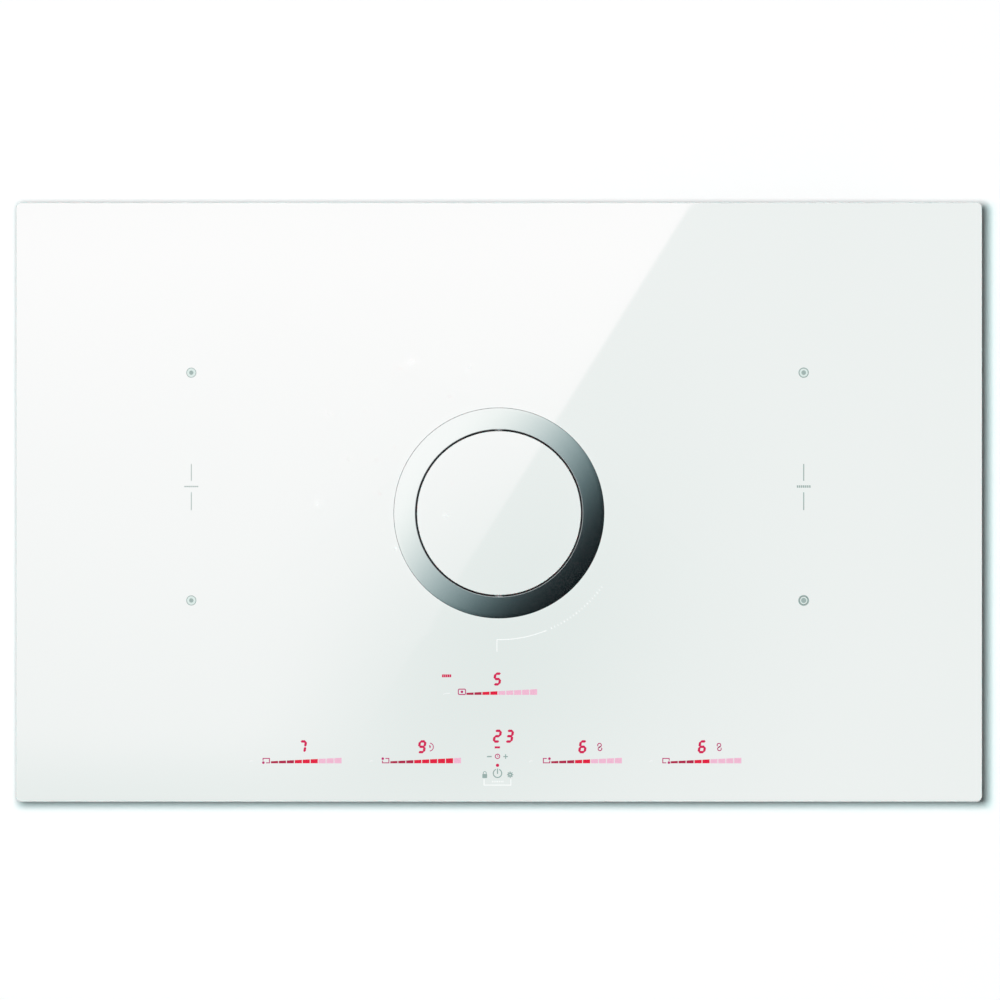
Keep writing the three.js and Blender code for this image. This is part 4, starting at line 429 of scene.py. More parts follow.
key_shapes = [
    stroke([(-10.3, -218.7), (-6.2, -218.7)], 1.1),
    stroke([(3.7, -218.7), (7.7, -218.7)], 0.9),
    stroke([(5.7, -220.7), (5.7, -219.15)], 0.9),
    stroke([(5.7, -218.25), (5.7, -216.7)], 0.9),
    stroke(bow(KEY_X, -233.1, 3.6, 112, 428, 40), 0.95),
    stroke([(KEY_X, -233.6), (KEY_X, -229.0)], 1.0),
    [rounded_rect(4.1, 3.6, 0.5, -12.2, -235.4, 3)],
    stroke([(-13.5, -233.6), *bow(-12.2, -232.9, 1.3, 180, 0, 12), (-10.9, -233.6)], 0.6),
    stroke(circle(1.25, 9.6, -234.3, 20), 1.3, True),
]
for angle in (k * pi / 4 for k in range(8)):
    key_shapes.append(stroke([polar(9.6, -234.3, r, angle) for r in (1.9, 2.75)], 0.95))
printed("key_signs", enamel("key_grey", (0.29, 0.39, 0.37)), *key_shapes)

# ---- trim ring
# A ring of stainless steel that frames the intake, turned from plate to a shallow cone and brushed
# round its axis. A short lip under its outer edge hides the soft gasket that it rests on.


def spun(profile, count=144, x=0, y=INTAKE_Y, base=0):
    """A body turned about a vertical axis from its section: (radius, height) points that run
    counter-clockwise, out along the bottom and back along the top. It may start and end on the axis."""
    points, faces, rows = [], [], []
    for radius, height in profile:
        on_axis = radius < 1e-6
        rows.append((len(points), on_axis))
        for k in range(1 if on_axis else count):
            points.append((*polar(x, y, radius, 2 * pi * k / count), base + height))
    closed = not (rows[0][1] and rows[-1][1])
    for (a, a_point), (b, b_point) in list(zip(rows, rows[1:])) + [(rows[-1], rows[0])] * closed:
        for k in range(count):
            n = (k + 1) % count
            if a_point:
                faces.append((a, b + n, b + k))
            elif b_point:
                faces.append((a + k, a + n, b))
            else:
                faces.append((a + k, a + n, b + n, b + k))
    return points, faces


def softened(profile, radius=0.3, steps=3, closed=True):
    """A section with its corners rounded, by no more than the sides allow."""
    points = [Vector(p) for p in profile]
    count, made = len(points), []
    for k, point in enumerate(points):
        back, ahead = points[k - 1] - point, points[(k + 1) % count] - point
        angle = back.angle(ahead, pi)
        if angle > radians(168) or (not closed and k in (0, count - 1)):
            made.append(tuple(point))
            continue
        reach = min(radius / tan(angle / 2), 0.45 * back.length, 0.45 * ahead.length)
        start, end = point + back.normalized() * reach, point + ahead.normalized() * reach
        for step in range(steps + 1):
            t = step / steps
            made.append(tuple(start.lerp(point, t).lerp(point.lerp(end, t), t)))
    return made


def turned_grain(shader, y, scale):
    """Fine lines round an axis at x 0 and y in millimetres, as a lathe or a turning brush leaves them."""
    point = wire(shader, "TexCoord", {}, "Object")
    centred = wire(shader, "Mapping", {"Vector": point, "Location": (0, -y * MM, 0)})
    axes = wire(shader, "SeparateXYZ", {"Vector": centred}).node.outputs
    flat = {"X": axes["X"], "Y": axes["Y"]}
    spoke = wire(shader, "CombineXYZ", flat)
    radius = wire(shader, "VectorMath", {"Vector": spoke}, "Value", operation="LENGTH")
    flat["Z"] = wire(shader, "Math", {0: radius, 1: 160.0}, operation="MULTIPLY")
    lines = wire(shader, "CombineXYZ", flat)
    grain = {"Vector": lines, "Scale": scale, "Detail": 3.0, "Roughness": 0.6}
    return wire(shader, "TexNoise", grain)


ring_steel, shader = new_finish("turned_ring_steel", (0.54, 0.60, 0.61), 0.15, Metallic=1.0)
lines = turned_grain(shader, INTAKE_Y, 30.0)
textured(shader, lines, [(0.52, 0.58, 0.59), (0.56, 0.62, 0.63)], (0.13, 0.18), 0.0006)

# The cone is very slightly crowned, so that what it mirrors changes a little from rim to rim.
crown = [(90.0 - 2.95 * k, 1.33 + 0.378 * k - 0.0083 * k * k) for k in range(7)]
ring_section = [(72.0, 1.3), (89.0, 1.3), (89.0, 0.3), (90.6, 0.3), (90.6, 1.15), *crown, (72.0, 3.0)]
ring = spun(softened(ring_section, 0.12), 192, base=GLASS_LEVEL)
piece("steel_ring", "intake_ring", "ring_steel", "trim_ring", ring_steel, ring)

# ---- ring gasket
# A flat ring of translucent silicone between the trim ring and the glass, pressed to a slight bulge.
# It keeps spilt water out of the intake.

milky = {"Subsurface_Weight": 0.15, "Subsurface_Radius": (0.002, 0.002, 0.002), "detail": 6.0}
dusty = ((0.41, 0.43, 0.43), (0.49, 0.51, 0.51))
silicone = grained("silicone", (0.45, 0.47, 0.47), 0.55, 350.0, dusty, (0.45, 0.65), 0.05, **milky)
gasket_section = softened([(82.0, 0.12), (88.4, 0.12), (88.4, 1.3), (82.0, 1.3)], 0.5, 4)
gasket = spun(gasket_section, 160, base=GLASS_LEVEL)
piece("silicone_gasket", "intake_ring", "silicone", "ring_gasket", silicone, gasket)

# ---- flap frame, bushes
# The black moulded ring under the steel one hangs in the intake and holds two bushes, in which the
# flap's pins turn. The bushes are a paler acetal, and show as grey bits in the gap at front and back.

# A modifier welds a solid's faces and shades them smooth, but for its real edges.
smooth_faces = bpy.data.node_groups.new("smooth_faces", "GeometryNodeTree")
for way in ("INPUT", "OUTPUT"):
    smooth_faces.interface.new_socket(name="Geometry", in_out=way, socket_type="NodeSocketGeometry")
end = smooth_faces.nodes.new("NodeGroupOutput")
start = wire(end, "NodeGroupInput", {})
weld = wire(end, "GeometryNodeMergeByDistance", {"Geometry": start, "Distance": 0.00001})
rounded = wire(end, "GeometryNodeSetShadeSmooth", {"Geometry": weld})
angle = wire(end, "GeometryNodeInputMeshEdgeAngle", {})
sharp = wire(end, "FunctionNodeCompare", {"A": angle, "B": radians(33)}, operation="GREATER_THAN")
kept = {"Geometry": rounded, "Selection": sharp, "Shade Smooth": False}
feed(end, 0, wire(end, "GeometryNodeSetShadeSmooth", kept, domain="EDGE"))


def dressed(finish, *nodes, soften=0.25):
    """Solids of the frame whose shape is right get their finish, smooth faces and a small round on
    each edge, in millimetres."""
    for node in nodes:
        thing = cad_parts[node]
        thing.data.materials.clear()
        thing.data.materials.append(finish)
        thing.modifiers.new("smooth_faces", "NODES").node_group = smooth_faces
        if soften:
            edge = thing.modifiers.new("edge_round", "BEVEL")
            edge.width, edge.segments = soften * MM, 2
            edge.limit_method, edge.angle_limit = "ANGLE", radians(40)
            edge.harden_normals = True


def moulded(name, colour, roughness=0.5, grain=900.0, depth=0.03):
    """Injection-moulded plastic with the fine grain that its tool was etched with."""
    tones, smooth = shades(colour, 0.88, 1.14), (roughness - 0.06, roughness + 0.08)
    dull = {"detail": 2.0, "Specular_IOR_Level": 0.35}
    return grained(name, colour, roughness, grain, tones, smooth, depth, **dull)


black_plastic = moulded("black_plastic", (0.020, 0.020, 0.022))
grey_plastic = moulded("grey_plastic", (0.12, 0.13, 0.14))
pale_plastic = moulded("pale_plastic", (0.38, 0.41, 0.42))
dressed(black_plastic, "flap_frame")
dressed(pale_plastic, "pivot_bush_rear", "pivot_bush_front")

# ---- tilting flap
# A disc of the same white glass with a polished round edge, glued to a black moulded plate with
# ribs. Two steel pins in the plate turn in the frame's bushes, so that a touch tips the flap open.

flap_section = [(0, -2.5), (69.9, -2.5), (70.4, -1.9), (70.4, 1.2), (70.1, 1.5), (0, 1.5)]
disc = spun(softened(flap_section, 0.2, closed=False), 192, base=GLASS_LEVEL)
piece("flap_disc", "flap", "glass_ceramic", "flap_glass", white_glass, disc)


def brushed(name, colour, roughness, stretch):
    """Rolled or brushed metal with fine lines along one axis."""
    tones, smooth = shades(colour, 0.92, 1.06), (roughness - 0.05, roughness + 0.08)
    return grained(name, colour, roughness, 700.0, tones, smooth, 0.004, stretch, Metallic=1.0)


satin_steel = brushed("satin_steel", (0.55, 0.56, 0.57), 0.3, (1, 0.05, 1))
dressed(black_plastic, "flap_plate", soften=0.2)
dressed(satin_steel, "flap_pin_rear", "flap_pin_front", soften=0.15)

# ---- casing
# A tray of galvanised sheet, folded and spot welded, hangs under the glass. Slots in its floor let
# the cooling air in and out, and leaf springs on its sides hold it in the worktop's cut-out.

zinc_sheet, shader = new_finish("zinc_sheet", (0.50, 0.52, 0.54), 0.4, Metallic=1.0)
spangle = wire(shader, "TexVoronoi", {"Vector": place_of(shader), "Scale": 130.0}, "Color")
flecks = wire(shader, "RGBToBW", {"Color": spangle})
textured(shader, flecks, [(0.42, 0.44, 0.46), (0.58, 0.60, 0.62)], (0.3, 0.48))
textured(shader, noise(shader, 260.0), depth=0.01)
dressed(zinc_sheet, "casing_tray", soften=0.12)


def moved(body, rule):
    """A body with each of its points taken through a rule."""
    return [rule(*point) for point in body[0]], body[1]


def turned_to(body, place, axis):
    """A body made about +Z at the origin, moved to a place and turned to look along an axis."""
    turn = Matrix.Translation(place) @ Vector(axis).to_track_quat("Z", "Y").to_matrix().to_4x4()
    return moved(body, lambda *p: tuple(turn @ Vector(p)))


def cross_recess(size):
    half, arm = size / 2, size * 0.16
    quarter = ((half, -arm), (half, arm), (arm, arm))
    quarter_turns = ((1, 0), (0, 1), (-1, 0), (0, -1))
    return [(x * c - y * s, x * s + y * c) for c, s in quarter_turns for x, y in quarter]


def screw_head(radius=3.6, height=2.2):
    """A pan-head screw with a cross recess, seen from outside along +Z."""
    head = slab([circle(radius, count=24), hole(cross_recess(radius * 1.15))], 0, height, 0.7)
    washer = slab([circle(radius * 1.25, count=24)], -0.3, 0.5, 0.15, 2)
    return joined(head, washer, slab([circle(radius * 0.8, count=16)], 0, height * 0.45, 0))


blush = ((0.50, 0.51, 0.49), (0.62, 0.63, 0.63))
zinc_plating = grained("zinc_plating", (0.56, 0.57, 0.56), 0.3, 400.0, blush, (0.24, 0.38), Metallic=1.0)


def fasteners(name, body, places):
    """A piece of zinc-plated screws or rivets, one at each (place, axis that it looks along)."""
    copies = [turned_to(body, *place) for place in places]
    piece(name, "chassis", "zinc_sheet", None, zinc_plating, *copies)


DOWN = (0, 0, -1)
SIDE_X, BACK_Y, CASING_LOW, SCREW_Z = 388, 243, 150.3, 199
screws = []
for x in (-360, -180, 0, 180, 360):
    screws += [((x, BACK_Y, SCREW_Z), (0, 1, 0)), ((x, -BACK_Y, SCREW_Z), (0, -1, 0))]
for y in (-215, 0, 215):
    screws += [((SIDE_X, y, SCREW_Z), (1, 0, 0)), ((-SIDE_X, y, SCREW_Z), (-1, 0, 0))]
for x, y in ((-350, -142), (-176, -142), (-350, 42), (-176, 42), (350, -142), (350, 42)):
    screws.append(((x, y, CASING_LOW), DOWN))
for fan in (-300, 300):
    screws += [((fan + x, 165 + y, CASING_LOW), DOWN) for y in (-35.8, 35.8) for x in (-35.8, 35.8)]
fasteners("casing_screws", screw_head(), screws)
bead = slab([rounded_rect(170, 9, 4.4)], -0.4, 1.1, 0.9)
weld = slab([circle(2.3, count=24), hole(circle(1.5, count=24))], -0.1, 0.16, 0.1, 2)
pressed = [turned_to(bead, (x, y, CASING_LOW), DOWN) for x in (-263, 263) for y in (-205, 100)]
for x in (-376, 376):
    for z in (160, 173, 186):
        pressed += [turned_to(weld, (x, end * BACK_Y, z), (0, end, 0)) for end in (1, -1)]
piece("pressed_beads", "chassis", "zinc_sheet", None, zinc_sheet, *pressed)

spring_steel = brushed("spring_steel", (0.48, 0.48, 0.49), 0.28, (1, 0.05, 1))
for side in ("left", "right"):
    dressed(spring_steel, f"fixing_clip_{side}_rear", f"fixing_clip_{side}_front", soften=0.12)
rivet = spun([(0, -0.2), (2.7, -0.2), (2.7, 0.3), (2.3, 0.9), (1.4, 1.3), (0, 1.45)], 24, 0, 0)
rivet_y = (-158, -142, 142, 158)
clip_holes = [((side * 389.4, y, 196), (side, 0, 0)) for side in (-1, 1) for y in rivet_y]
fasteners("clip_rivets", rivet, clip_holes)

# ---- intake well, filter
# A moulded funnel leads the air down to the grease filter: a stainless basket with a rolled rim,
# a drip cup and a bow handle, which lifts out through the ring to be washed.

dressed(black_plastic, "intake_well", soften=0.4)
dressed(satin_steel, "filter_basket", "filter_drip_cup", "filter_rim", "filter_handle", soften=0.12)


def wires(paths, radius, sides=5, closed=False):
    """Thin round wires along paths of points, each with its own sideways direction."""
    points, faces = [], []
    for path in paths:
        start, count = len(points), len(path)
        for place, out, along in path:
            across = Vector(out).cross(Vector(along)).normalized()
            for k in range(sides):
                turn = 2 * pi * k / sides
                offset = radius * (cos(turn) * Vector(out) + sin(turn) * across)
                points.append(tuple(Vector(place) + offset))
        for k in range(count if closed else count - 1):
            a, b = start + k * sides, start + (k + 1) % count * sides
            faces.extend((a + i, b + i, b + (i + 1) % sides, a + (i + 1) % sides) for i in range(sides))
    return points, faces


MESH_RADIUS, MESH_BULGE, WIRE_RADIUS, UPRIGHTS, HOOPS = 63.7, 0.3, 0.28, 132, 31


def on_mesh(i, j, hoop):
    """The crossing of the wires i and j, on the outer or the inner one, with the wire's direction."""
    out = (*polar(0, 0, 1, 2 * pi * i / UPRIGHTS), 0)
    radius = MESH_RADIUS + (-MESH_BULGE if hoop else MESH_BULGE) * (-1) ** (i + j)
    along = (-out[1], out[0], 0) if hoop else (0, 0, 1)
    return (radius * out[0], INTAKE_Y + radius * out[1], 52 + 2.5 * j), out, along


uprights = [[on_mesh(i, j, False) for j in range(HOOPS)] for i in range(UPRIGHTS)]
hoops = [[on_mesh(i, j, True) for i in range(UPRIGHTS)] for j in range(HOOPS)]
mesh_wires = [wires(uprights, WIRE_RADIUS), wires(hoops, WIRE_RADIUS, closed=True)]
piece("basket_mesh", "filter_cartridge", "stainless", None, satin_steel, *mesh_wires)

# ---- air box base
# An open tray moulded in black plastic, with ribs up its walls and a round recess in its floor for
# the drain. A bead along its rim stiffens it where the cover clips on.

air_plastic = moulded("air_plastic", (0.036, 0.037, 0.040), 0.42, 700.0, 0.04)
AIR_WALL = 2.5


def flipped(body):
    return body[0], [face[::-1] for face in body[1]]


def skin(loop, levels, close_low=False):
    """The outside of a body that rises through levels, open at the top and, unless closed, below."""
    points, faces = loft([loop], levels)
    sides = (len(levels) - 1) * len(loop)
    low_end = (sides + len(faces)) // 2
    return points, faces[: low_end if close_low else sides]


def rim_between(outer, inner, height):
    """The flat ring between two loops, looking up."""
    points, faces = loft([outer, hole(inner)], [(0, height - 1), (0, height)])
    return points, faces[-((len(faces) - len(outer) - len(inner)) // 2) :]


def grown(loop, distance):
    return [tuple(p) for p in moved_in(loop, -distance)]


def tray(loop, wall, low, high, round_off, floor_hole=None):
    """A moulded tray: round where its walls meet its floor, and open at the top."""
    inner = grown(loop, -wall)

    def risen(bend, foot):
        steps = [k * pi / 12 for k in range(7)]
        return [(bend * (1 - sin(t)), foot + bend * (1 - cos(t))) for t in steps] + [(0, high)]

    solid = not floor_hole
    outside = skin(loop, risen(round_off, low), solid)
    inside = flipped(skin(inner, risen(max(round_off - wall, 0.5), low + wall), solid))
    walls = joined(outside, inside, rim_between(loop, inner, high))
    if solid:
        return walls
    foot = grown(loop, -round_off)
    return joined(walls, slab([foot, hole(floor_hole)], low, low + wall, 0))


def band(loop, low, high):
    """A raised band round a wall."""
    return slab([grown(loop, 1.6), hole(grown(loop, -0.4))], low, high, 0.5)


def bar(x, y, width, depth, low, high, round_off=0.4, corner=None):
    corner = min(width, depth) / 2.2 if corner is None else corner
    return slab([rounded_rect(width, depth, corner, x, y, 3)], low, high, round_off, 2)


RIB_WIDTH, RIB_DEEP, RIB_PITCH = 2.0, 2.6, 22
AIR_LEFT, AIR_FRONT, AIR_BACK = -118, -150, 130
air_outline = rounded_rect(216, 280, 30, -10, -10, 10)
drain_hole = circle(24, 0, -105, 48)


def ribs_across(first, count, wall, low, high):
    """Upright ribs a pitch apart along X, half sunk in a wall that faces the front or the back."""
    return [bar(first + RIB_PITCH * k, wall, RIB_WIDTH, RIB_DEEP, low, high) for k in range(count)]


def ribs_along(first, count, wall, low, high):
    return [bar(wall, first + RIB_PITCH * k, RIB_DEEP, RIB_WIDTH, low, high) for k in range(count)]


def air_box_ribs(low, high):
    front, back = (ribs_across(-76, 7, wall, low, high) for wall in (AIR_FRONT, AIR_BACK))
    return [*front, *back, *ribs_along(-109, 10, AIR_LEFT, low, high)]


SNAPS = [(x, y, turn) for x in (-65, 45) for y, turn in ((AIR_FRONT, 0), (AIR_BACK, 180))]
SNAPS += [(AIR_LEFT, y, -90) for y in (-98, 78)]


def at_snaps(body):
    """Copies of a body made for a front wall at the origin, one at each snap hook."""
    turns = [Matrix.Translation((x, y, 0)) @ Matrix.Rotation(radians(turn), 4, "Z") for x, y, turn in SNAPS]
    return [moved(body, lambda *p: tuple(turn @ Vector(p))) for turn in turns]


piece(
    "air_tray", "chassis", "black_plastic", "air_box_base", air_plastic,
    tray(air_outline, AIR_WALL, 0, 97.7, 5, drain_hole),
    slab([circle(26.5, 0, -105, 48), hole(drain_hole)], 0.6, 14.5, 0.5),
    slab([circle(24.4, 0, -105, 48), hole(circle(10, 0, -105, 40))], 12, 14.5, 0.4),
    band(air_outline, 91.7, 94.7),
    *air_box_ribs(12, 91.9),
    *at_snaps(bar(0, -1.2, 8, 4.6, 87.2, 90.7, 0.9, 0.8)),
)

# ---- air box cover
# The lid of the air box and the duct over the fan, moulded in one piece. Snap hooks on its rim
# spring over lugs on the tray, and its roof bears on the casing's floor round the intake well.

COVER_LOW, COVER_TOP = 98.0, 150.0
FAN_X, FAN_Y = 214.99, -20
DUCT_RIGHT, DUCT_FRONT, DUCT_BACK = FAN_X + 116, -136, 96
cover_outline = [
    *bow(DUCT_RIGHT - 40, -96, 40, -90, 0, 10),
    *bow(DUCT_RIGHT - 40, 56, 40, 0, 90, 10),
    (98, DUCT_BACK),
    *bow(68, 100, 30, 0, 90, 10),
    *bow(-88, 100, 30, 90, 180, 10),
    *bow(-88, -120, 30, 180, 270, 10),
    *bow(68, -120, 30, -90, -32.2, 10),
]
shell = tray(cover_outline, AIR_WALL, COVER_LOW, COVER_TOP, 4, circle(80, 0, INTAKE_Y))
RIBS_UP = (100.8, 145)
SNAP_WIDTH = 15
hook_shape = [rounded_rect(SNAP_WIDTH, 22, 1.2, 0, 94.7), hole(rounded_rect(9, 4.5, 0.8, 0, 88.95))]
hook = moved(slab(hook_shape, 0.3, 2.7, 0.4, 2), lambda x, up, depth: (x, -depth, up))
piece(
    "air_lid", "chassis", "black_plastic", "air_box_cover", air_plastic,
    flipped(moved(shell, lambda x, y, z: (x, y, COVER_LOW + COVER_TOP - z))),
    band(cover_outline, 98, 101),
    *air_box_ribs(*RIBS_UP),
    *ribs_across(106.5, 9, DUCT_FRONT, *RIBS_UP),
    *ribs_across(106.5, 9, DUCT_BACK, *RIBS_UP),
    *ribs_along(-86, 7, DUCT_RIGHT, *RIBS_UP),
    *at_snaps(hook),
    *at_snaps(bar(0, -0.9, SNAP_WIDTH, 3.2, 98.2, 105.7, 0.4, 0.6)),
)

# ---- drain cap
# A quarter-turn cap with a bar to grip stands in the recess under the tray. A foam ring seals it,
# and two lugs on its plug lock over the hole's edge.

dressed(grey_plastic, "drain_cap", soften=0.4)


def box_of(node):
    """The lowest and the highest corner of a solid in millimetres."""
    return [[c / MM for c in corner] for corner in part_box(node)]


(seal_left, seal_front, seal_low), (seal_right, seal_back, seal_high) = box_of("drain_seal")
seal_radius = (seal_right - seal_left) / 2
seal_section = [(10.4, seal_low), (seal_radius, seal_low), (seal_radius, seal_high), (10.4, seal_high)]
seal_place = (seal_left + seal_right) / 2, (seal_front + seal_back) / 2
drain_foam = spun(softened(seal_section, 0.6, 4), 64, *seal_place)
piece("drain_gasket", "drain_closure", "foam", "drain_seal", foam_skin, drain_foam)

# ---- fan scroll
# The spiral housing of the fan, moulded open at the top. It widens from its tongue round to the
# mouth, with ribs round its wall and a flange that the lid is screwed to from below.

SCROLL_RIM = 95.2
SCROLL_START, SCROLL_END = 86, 136
TONGUE = radians(65)
MOUTH_Y, MOUTH_WIDTH = 245, 218
FULL_TURN = 2 * pi


def scroll_path(grow, steps=96):
    """The wall's line from the left of the mouth, past the tongue and round to the right of the
    mouth, moved out by grow."""
    left = SCROLL_END - MOUTH_WIDTH - grow
    tip_x, tip_y = SCROLL_START * cos(TONGUE) - grow, SCROLL_START * sin(TONGUE)
    ends = [(left, MOUTH_Y), (left, MOUTH_Y * 0.72), (tip_x, MOUTH_Y * 0.62), (tip_x, tip_y)]
    path = []
    for k in range(24):
        t = k / 24
        weights = ((1 - t) ** 3, 3 * t * (1 - t) ** 2, 3 * t * t * (1 - t), t**3)
        path.append(tuple(sum(w * p[axis] for w, p in zip(weights, ends)) for axis in (0, 1)))
    begin = TONGUE + (0.05 if grow else 0)
    for k in range(steps + 1):
        angle = begin + (FULL_TURN - begin) * k / steps
        radius = SCROLL_START + (SCROLL_END - SCROLL_START) * (angle - TONGUE) / (FULL_TURN - TONGUE) + grow
        path.append(polar(0, 0, radius, angle))
    path.append((SCROLL_END + grow, MOUTH_Y))
    return [(FAN_X + x, FAN_Y + y) for x, y in path]


def wall_between(outer, inner, low, high, round_off=0.5):
    """A wall that follows the scroll's line, between two distances from it."""
    return slab([scroll_path(outer) + scroll_path(inner)[::-1]], low, high, round_off)


FLANGE_REACH, BOSS_REACH, BOSS_RADIUS, SUNK = 8.0, 5.0, 3.0, 0.3
boss_places = []
for k in range(6):
    angle = TONGUE + (FULL_TURN - TONGUE) * (k + 0.6) / 6
    radius = SCROLL_START + (SCROLL_END - SCROLL_START) * (k + 0.6) / 6 + BOSS_REACH
    boss_places.append(polar(FAN_X, FAN_Y, radius, angle))
boss_places += [(FAN_X + SCROLL_END + BOSS_REACH, FAN_Y + share * MOUTH_Y) for share in (0.3, 0.62, 0.94)]
boss_places.append((FAN_X + SCROLL_END - MOUTH_WIDTH - BOSS_REACH, FAN_Y + 0.94 * MOUTH_Y))
piece(
    "fan_scroll", "chassis", "black_plastic", "scroll_base", air_plastic,
    wall_between(AIR_WALL, 0, 0.4, SCROLL_RIM),
    slab([scroll_path(AIR_WALL - 0.1)], 0, AIR_WALL, 0.6),
    wall_between(FLANGE_REACH, AIR_WALL - SUNK, 92.4, SCROLL_RIM, 0.4),
    *[wall_between(AIR_WALL + 1.4, AIR_WALL - SUNK, low, low + 2.0) for low in (24.8, 49.6)],
    *[slab([circle(BOSS_RADIUS, x, y, 24)], 74.4, 92.6, 0.5) for x, y in boss_places],
)

# ---- scroll lid
# A flat moulding that closes the scroll under the duct, with a bellmouth curled down into the eye of
# the impeller. Pan-head screws hold it to the scroll's flange from below.

LID_LOW, LID_TOP, EYE_RADIUS, CURL, CURL_WALL = 95.5, 97.7, 60, 12, 2.2


def bell_curve(reach):
    turns = [k * pi / 16 for k in range(9)]
    return [(EYE_RADIUS + CURL - reach * cos(t), LID_TOP - CURL + reach * sin(t)) for t in turns]


BRIDGE_LEFT, BRIDGE_RIGHT = 98.4, FAN_X - 75
eye = hole(circle(EYE_RADIUS + CURL - SUNK, FAN_X, FAN_Y))
bridge = rounded_rect(BRIDGE_RIGHT - BRIDGE_LEFT, 190, 4, (BRIDGE_LEFT + BRIDGE_RIGHT) / 2, FAN_Y)
piece(
    "scroll_lid", "chassis", "black_plastic", "scroll_cover", air_plastic,
    slab([scroll_path(FLANGE_REACH), eye], LID_LOW, LID_TOP, 0.4),
    slab([bridge], 95.6, 97.6, 0.3),
    spun([*bell_curve(CURL - CURL_WALL), *bell_curve(CURL)[::-1]], 96, FAN_X, FAN_Y),
)
small_head = screw_head(2.1, 1.4)
fasteners("scroll_screws", small_head, [((x, y, 74.2), DOWN) for x, y in boss_places])

# ---- outlet collar
# A flanged rectangular spigot, screwed to the scroll's mouth, that the flat duct is pushed over.
# Two small barbs round the spigot hold the duct.

SPIGOT_X, SPIGOT_Z = FAN_X + SCROLL_END - MOUTH_WIDTH / 2, 48.85


def upright(body):
    """A body made about +Z that looks to the back from the scroll's mouth instead."""
    return moved(body, lambda x, y, z: (SPIGOT_X - x, FAN_Y + MOUTH_Y + z, SPIGOT_Z + y))


def spigot_loop(wider, depth, corner):
    return rounded_rect(MOUTH_WIDTH + wider, depth, corner, steps=5)


collar_hole = hole(spigot_loop(-5, 80, 3))
barb = [spigot_loop(1.6, 86.6, 4.8), hole(spigot_loop(-1, 84, 4))]
collar_parts = [
    slab([spigot_loop(12, 97.1, 3), collar_hole], 0.3, 3.3, 0.5),
    slab([spigot_loop(0, 85, 4), collar_hole], 3.0, 25, 0.7),
    loft(barb, [(0.7, 14), (0, 14.4), (0, 15), (0.75, 18.5)]),
    loft(barb, [(0.7, 19.6), (0, 20), (0, 20.6), (0.75, 24)]),
]
spigot = upright(joined(*collar_parts))
piece("duct_spigot", "chassis", "black_plastic", "outlet_collar", air_plastic, spigot)
spots = [(x, y, 3.3) for x in (-100, -50, 0, 50, 100) for y in (-45.6, 45.6)]
heads = [turned_to(small_head, spot, (0, 0, 1)) for spot in spots]
piece("spigot_screws", "chassis", "zinc_sheet", None, zinc_plating, upright(joined(*heads)))

# ---- impeller, motor
# A forward-curved impeller moulded in grey plastic turns on the shaft of a motor that stands on the
# scroll's floor, inside the impeller's cup.

dressed(grey_plastic, "impeller", soften=0.2)
dressed(zinc_sheet, "motor_stator", soften=0.5)
dressed(satin_steel, "motor_shaft", soften=0.3)

# ---- coils, boards
# Each zone has a flat coil of litz wire on a moulded former with ferrite bars, carried by a sheet
# metal plate, with a temperature sensor in its eye. A power board and heat sink serve each side.

strands = {"depth": 0.12, "stretch": (1, 1, 4), "Metallic": 0.8}
coppers = ((0.36, 0.14, 0.06), (0.62, 0.30, 0.16))
copper_litz = grained("copper_litz", (0.50, 0.22, 0.11), 0.35, 1500.0, coppers, **strands)
board_green, shader = new_finish("board_green", (0.03, 0.12, 0.06), 0.35)
greens = {"Color1": (0.030, 0.12, 0.06, 1), "Color2": (0.022, 0.10, 0.05, 1)}
tracks = {"Vector": place_of(shader), "Scale": 160.0, **greens, "Mortar": (0.06, 0.19, 0.09, 1)}
track_colour = wire(shader, "TexBrick", tracks)
feed(shader, "Base Color", track_colour)
textured(shader, track_colour.node.outputs["Fac"], depth=0.03)
aluminium = brushed("mill_aluminium", (0.72, 0.73, 0.74), 0.32, (0.05, 1, 1))
for side in ("left", "right"):
    dressed(board_green, f"power_board_{side}", soften=0)
    dressed(aluminium, f"heat_sink_{side}", soften=0.15)
    dressed(aluminium, f"coil_plate_{side}", soften=0.12)
    dressed(black_plastic, f"cooling_fan_frame_{side}", f"cooling_fan_rotor_{side}", soften=0.2)
    for end in ("rear", "front"):
        dressed(copper_litz, f"coil_{side}_{end}", soften=0.8)
        dressed(grey_plastic, f"coil_former_{side}_{end}", soften=0.2)
        dressed(pale_plastic, f"coil_sensor_{side}_{end}", soften=0.3)
dressed(board_green, "touch_board", soften=0)
dressed(black_plastic, "touch_board_holder", soften=0.2)

# ---- mains terminal box
# The mains cable enters through a gland into a small moulded box at the back of the casing, under a
# cover that two screws hold, and ends in a screw terminal block.

dressed(black_plastic, "terminal_box", soften=0.3)
dressed(grey_plastic, "terminal_cover", soften=0.3)
dressed(pale_plastic, "terminal_block", soften=0.2)
(gland_left, gland_front, gland_low), (_, gland_back, gland_high) = box_of("cable_gland")
GLAND_BORE, GLAND_RIBS = 5.2, 18
dome = [(GLAND_BORE, 6), (9, 6), (9.2, 12), (8.6, 16.5), (7.0, 19.2), (GLAND_BORE, 19.6)]
gland_parts = [
    slab([circle(9.9, count=6), hole(circle(GLAND_BORE, count=48))], 0.4, 5.8, 0.5),
    spun(softened(dome, 0.8, 4), 72, 0, 0),
    spun([(GLAND_BORE, -4), (7.9, -4), (7.9, 0.4), (GLAND_BORE, 0.4)], 48, 0, 0),
    *[bar(x, y, 1.2, 1.2, 6.6, 15.5, 0.4) for x, y in circle(9.1, count=GLAND_RIBS)],
]
gland_place = (gland_left + 20, (gland_front + gland_back) / 2, (gland_low + gland_high) / 2)
gland = turned_to(joined(*gland_parts), gland_place, (-1, 0, 0))
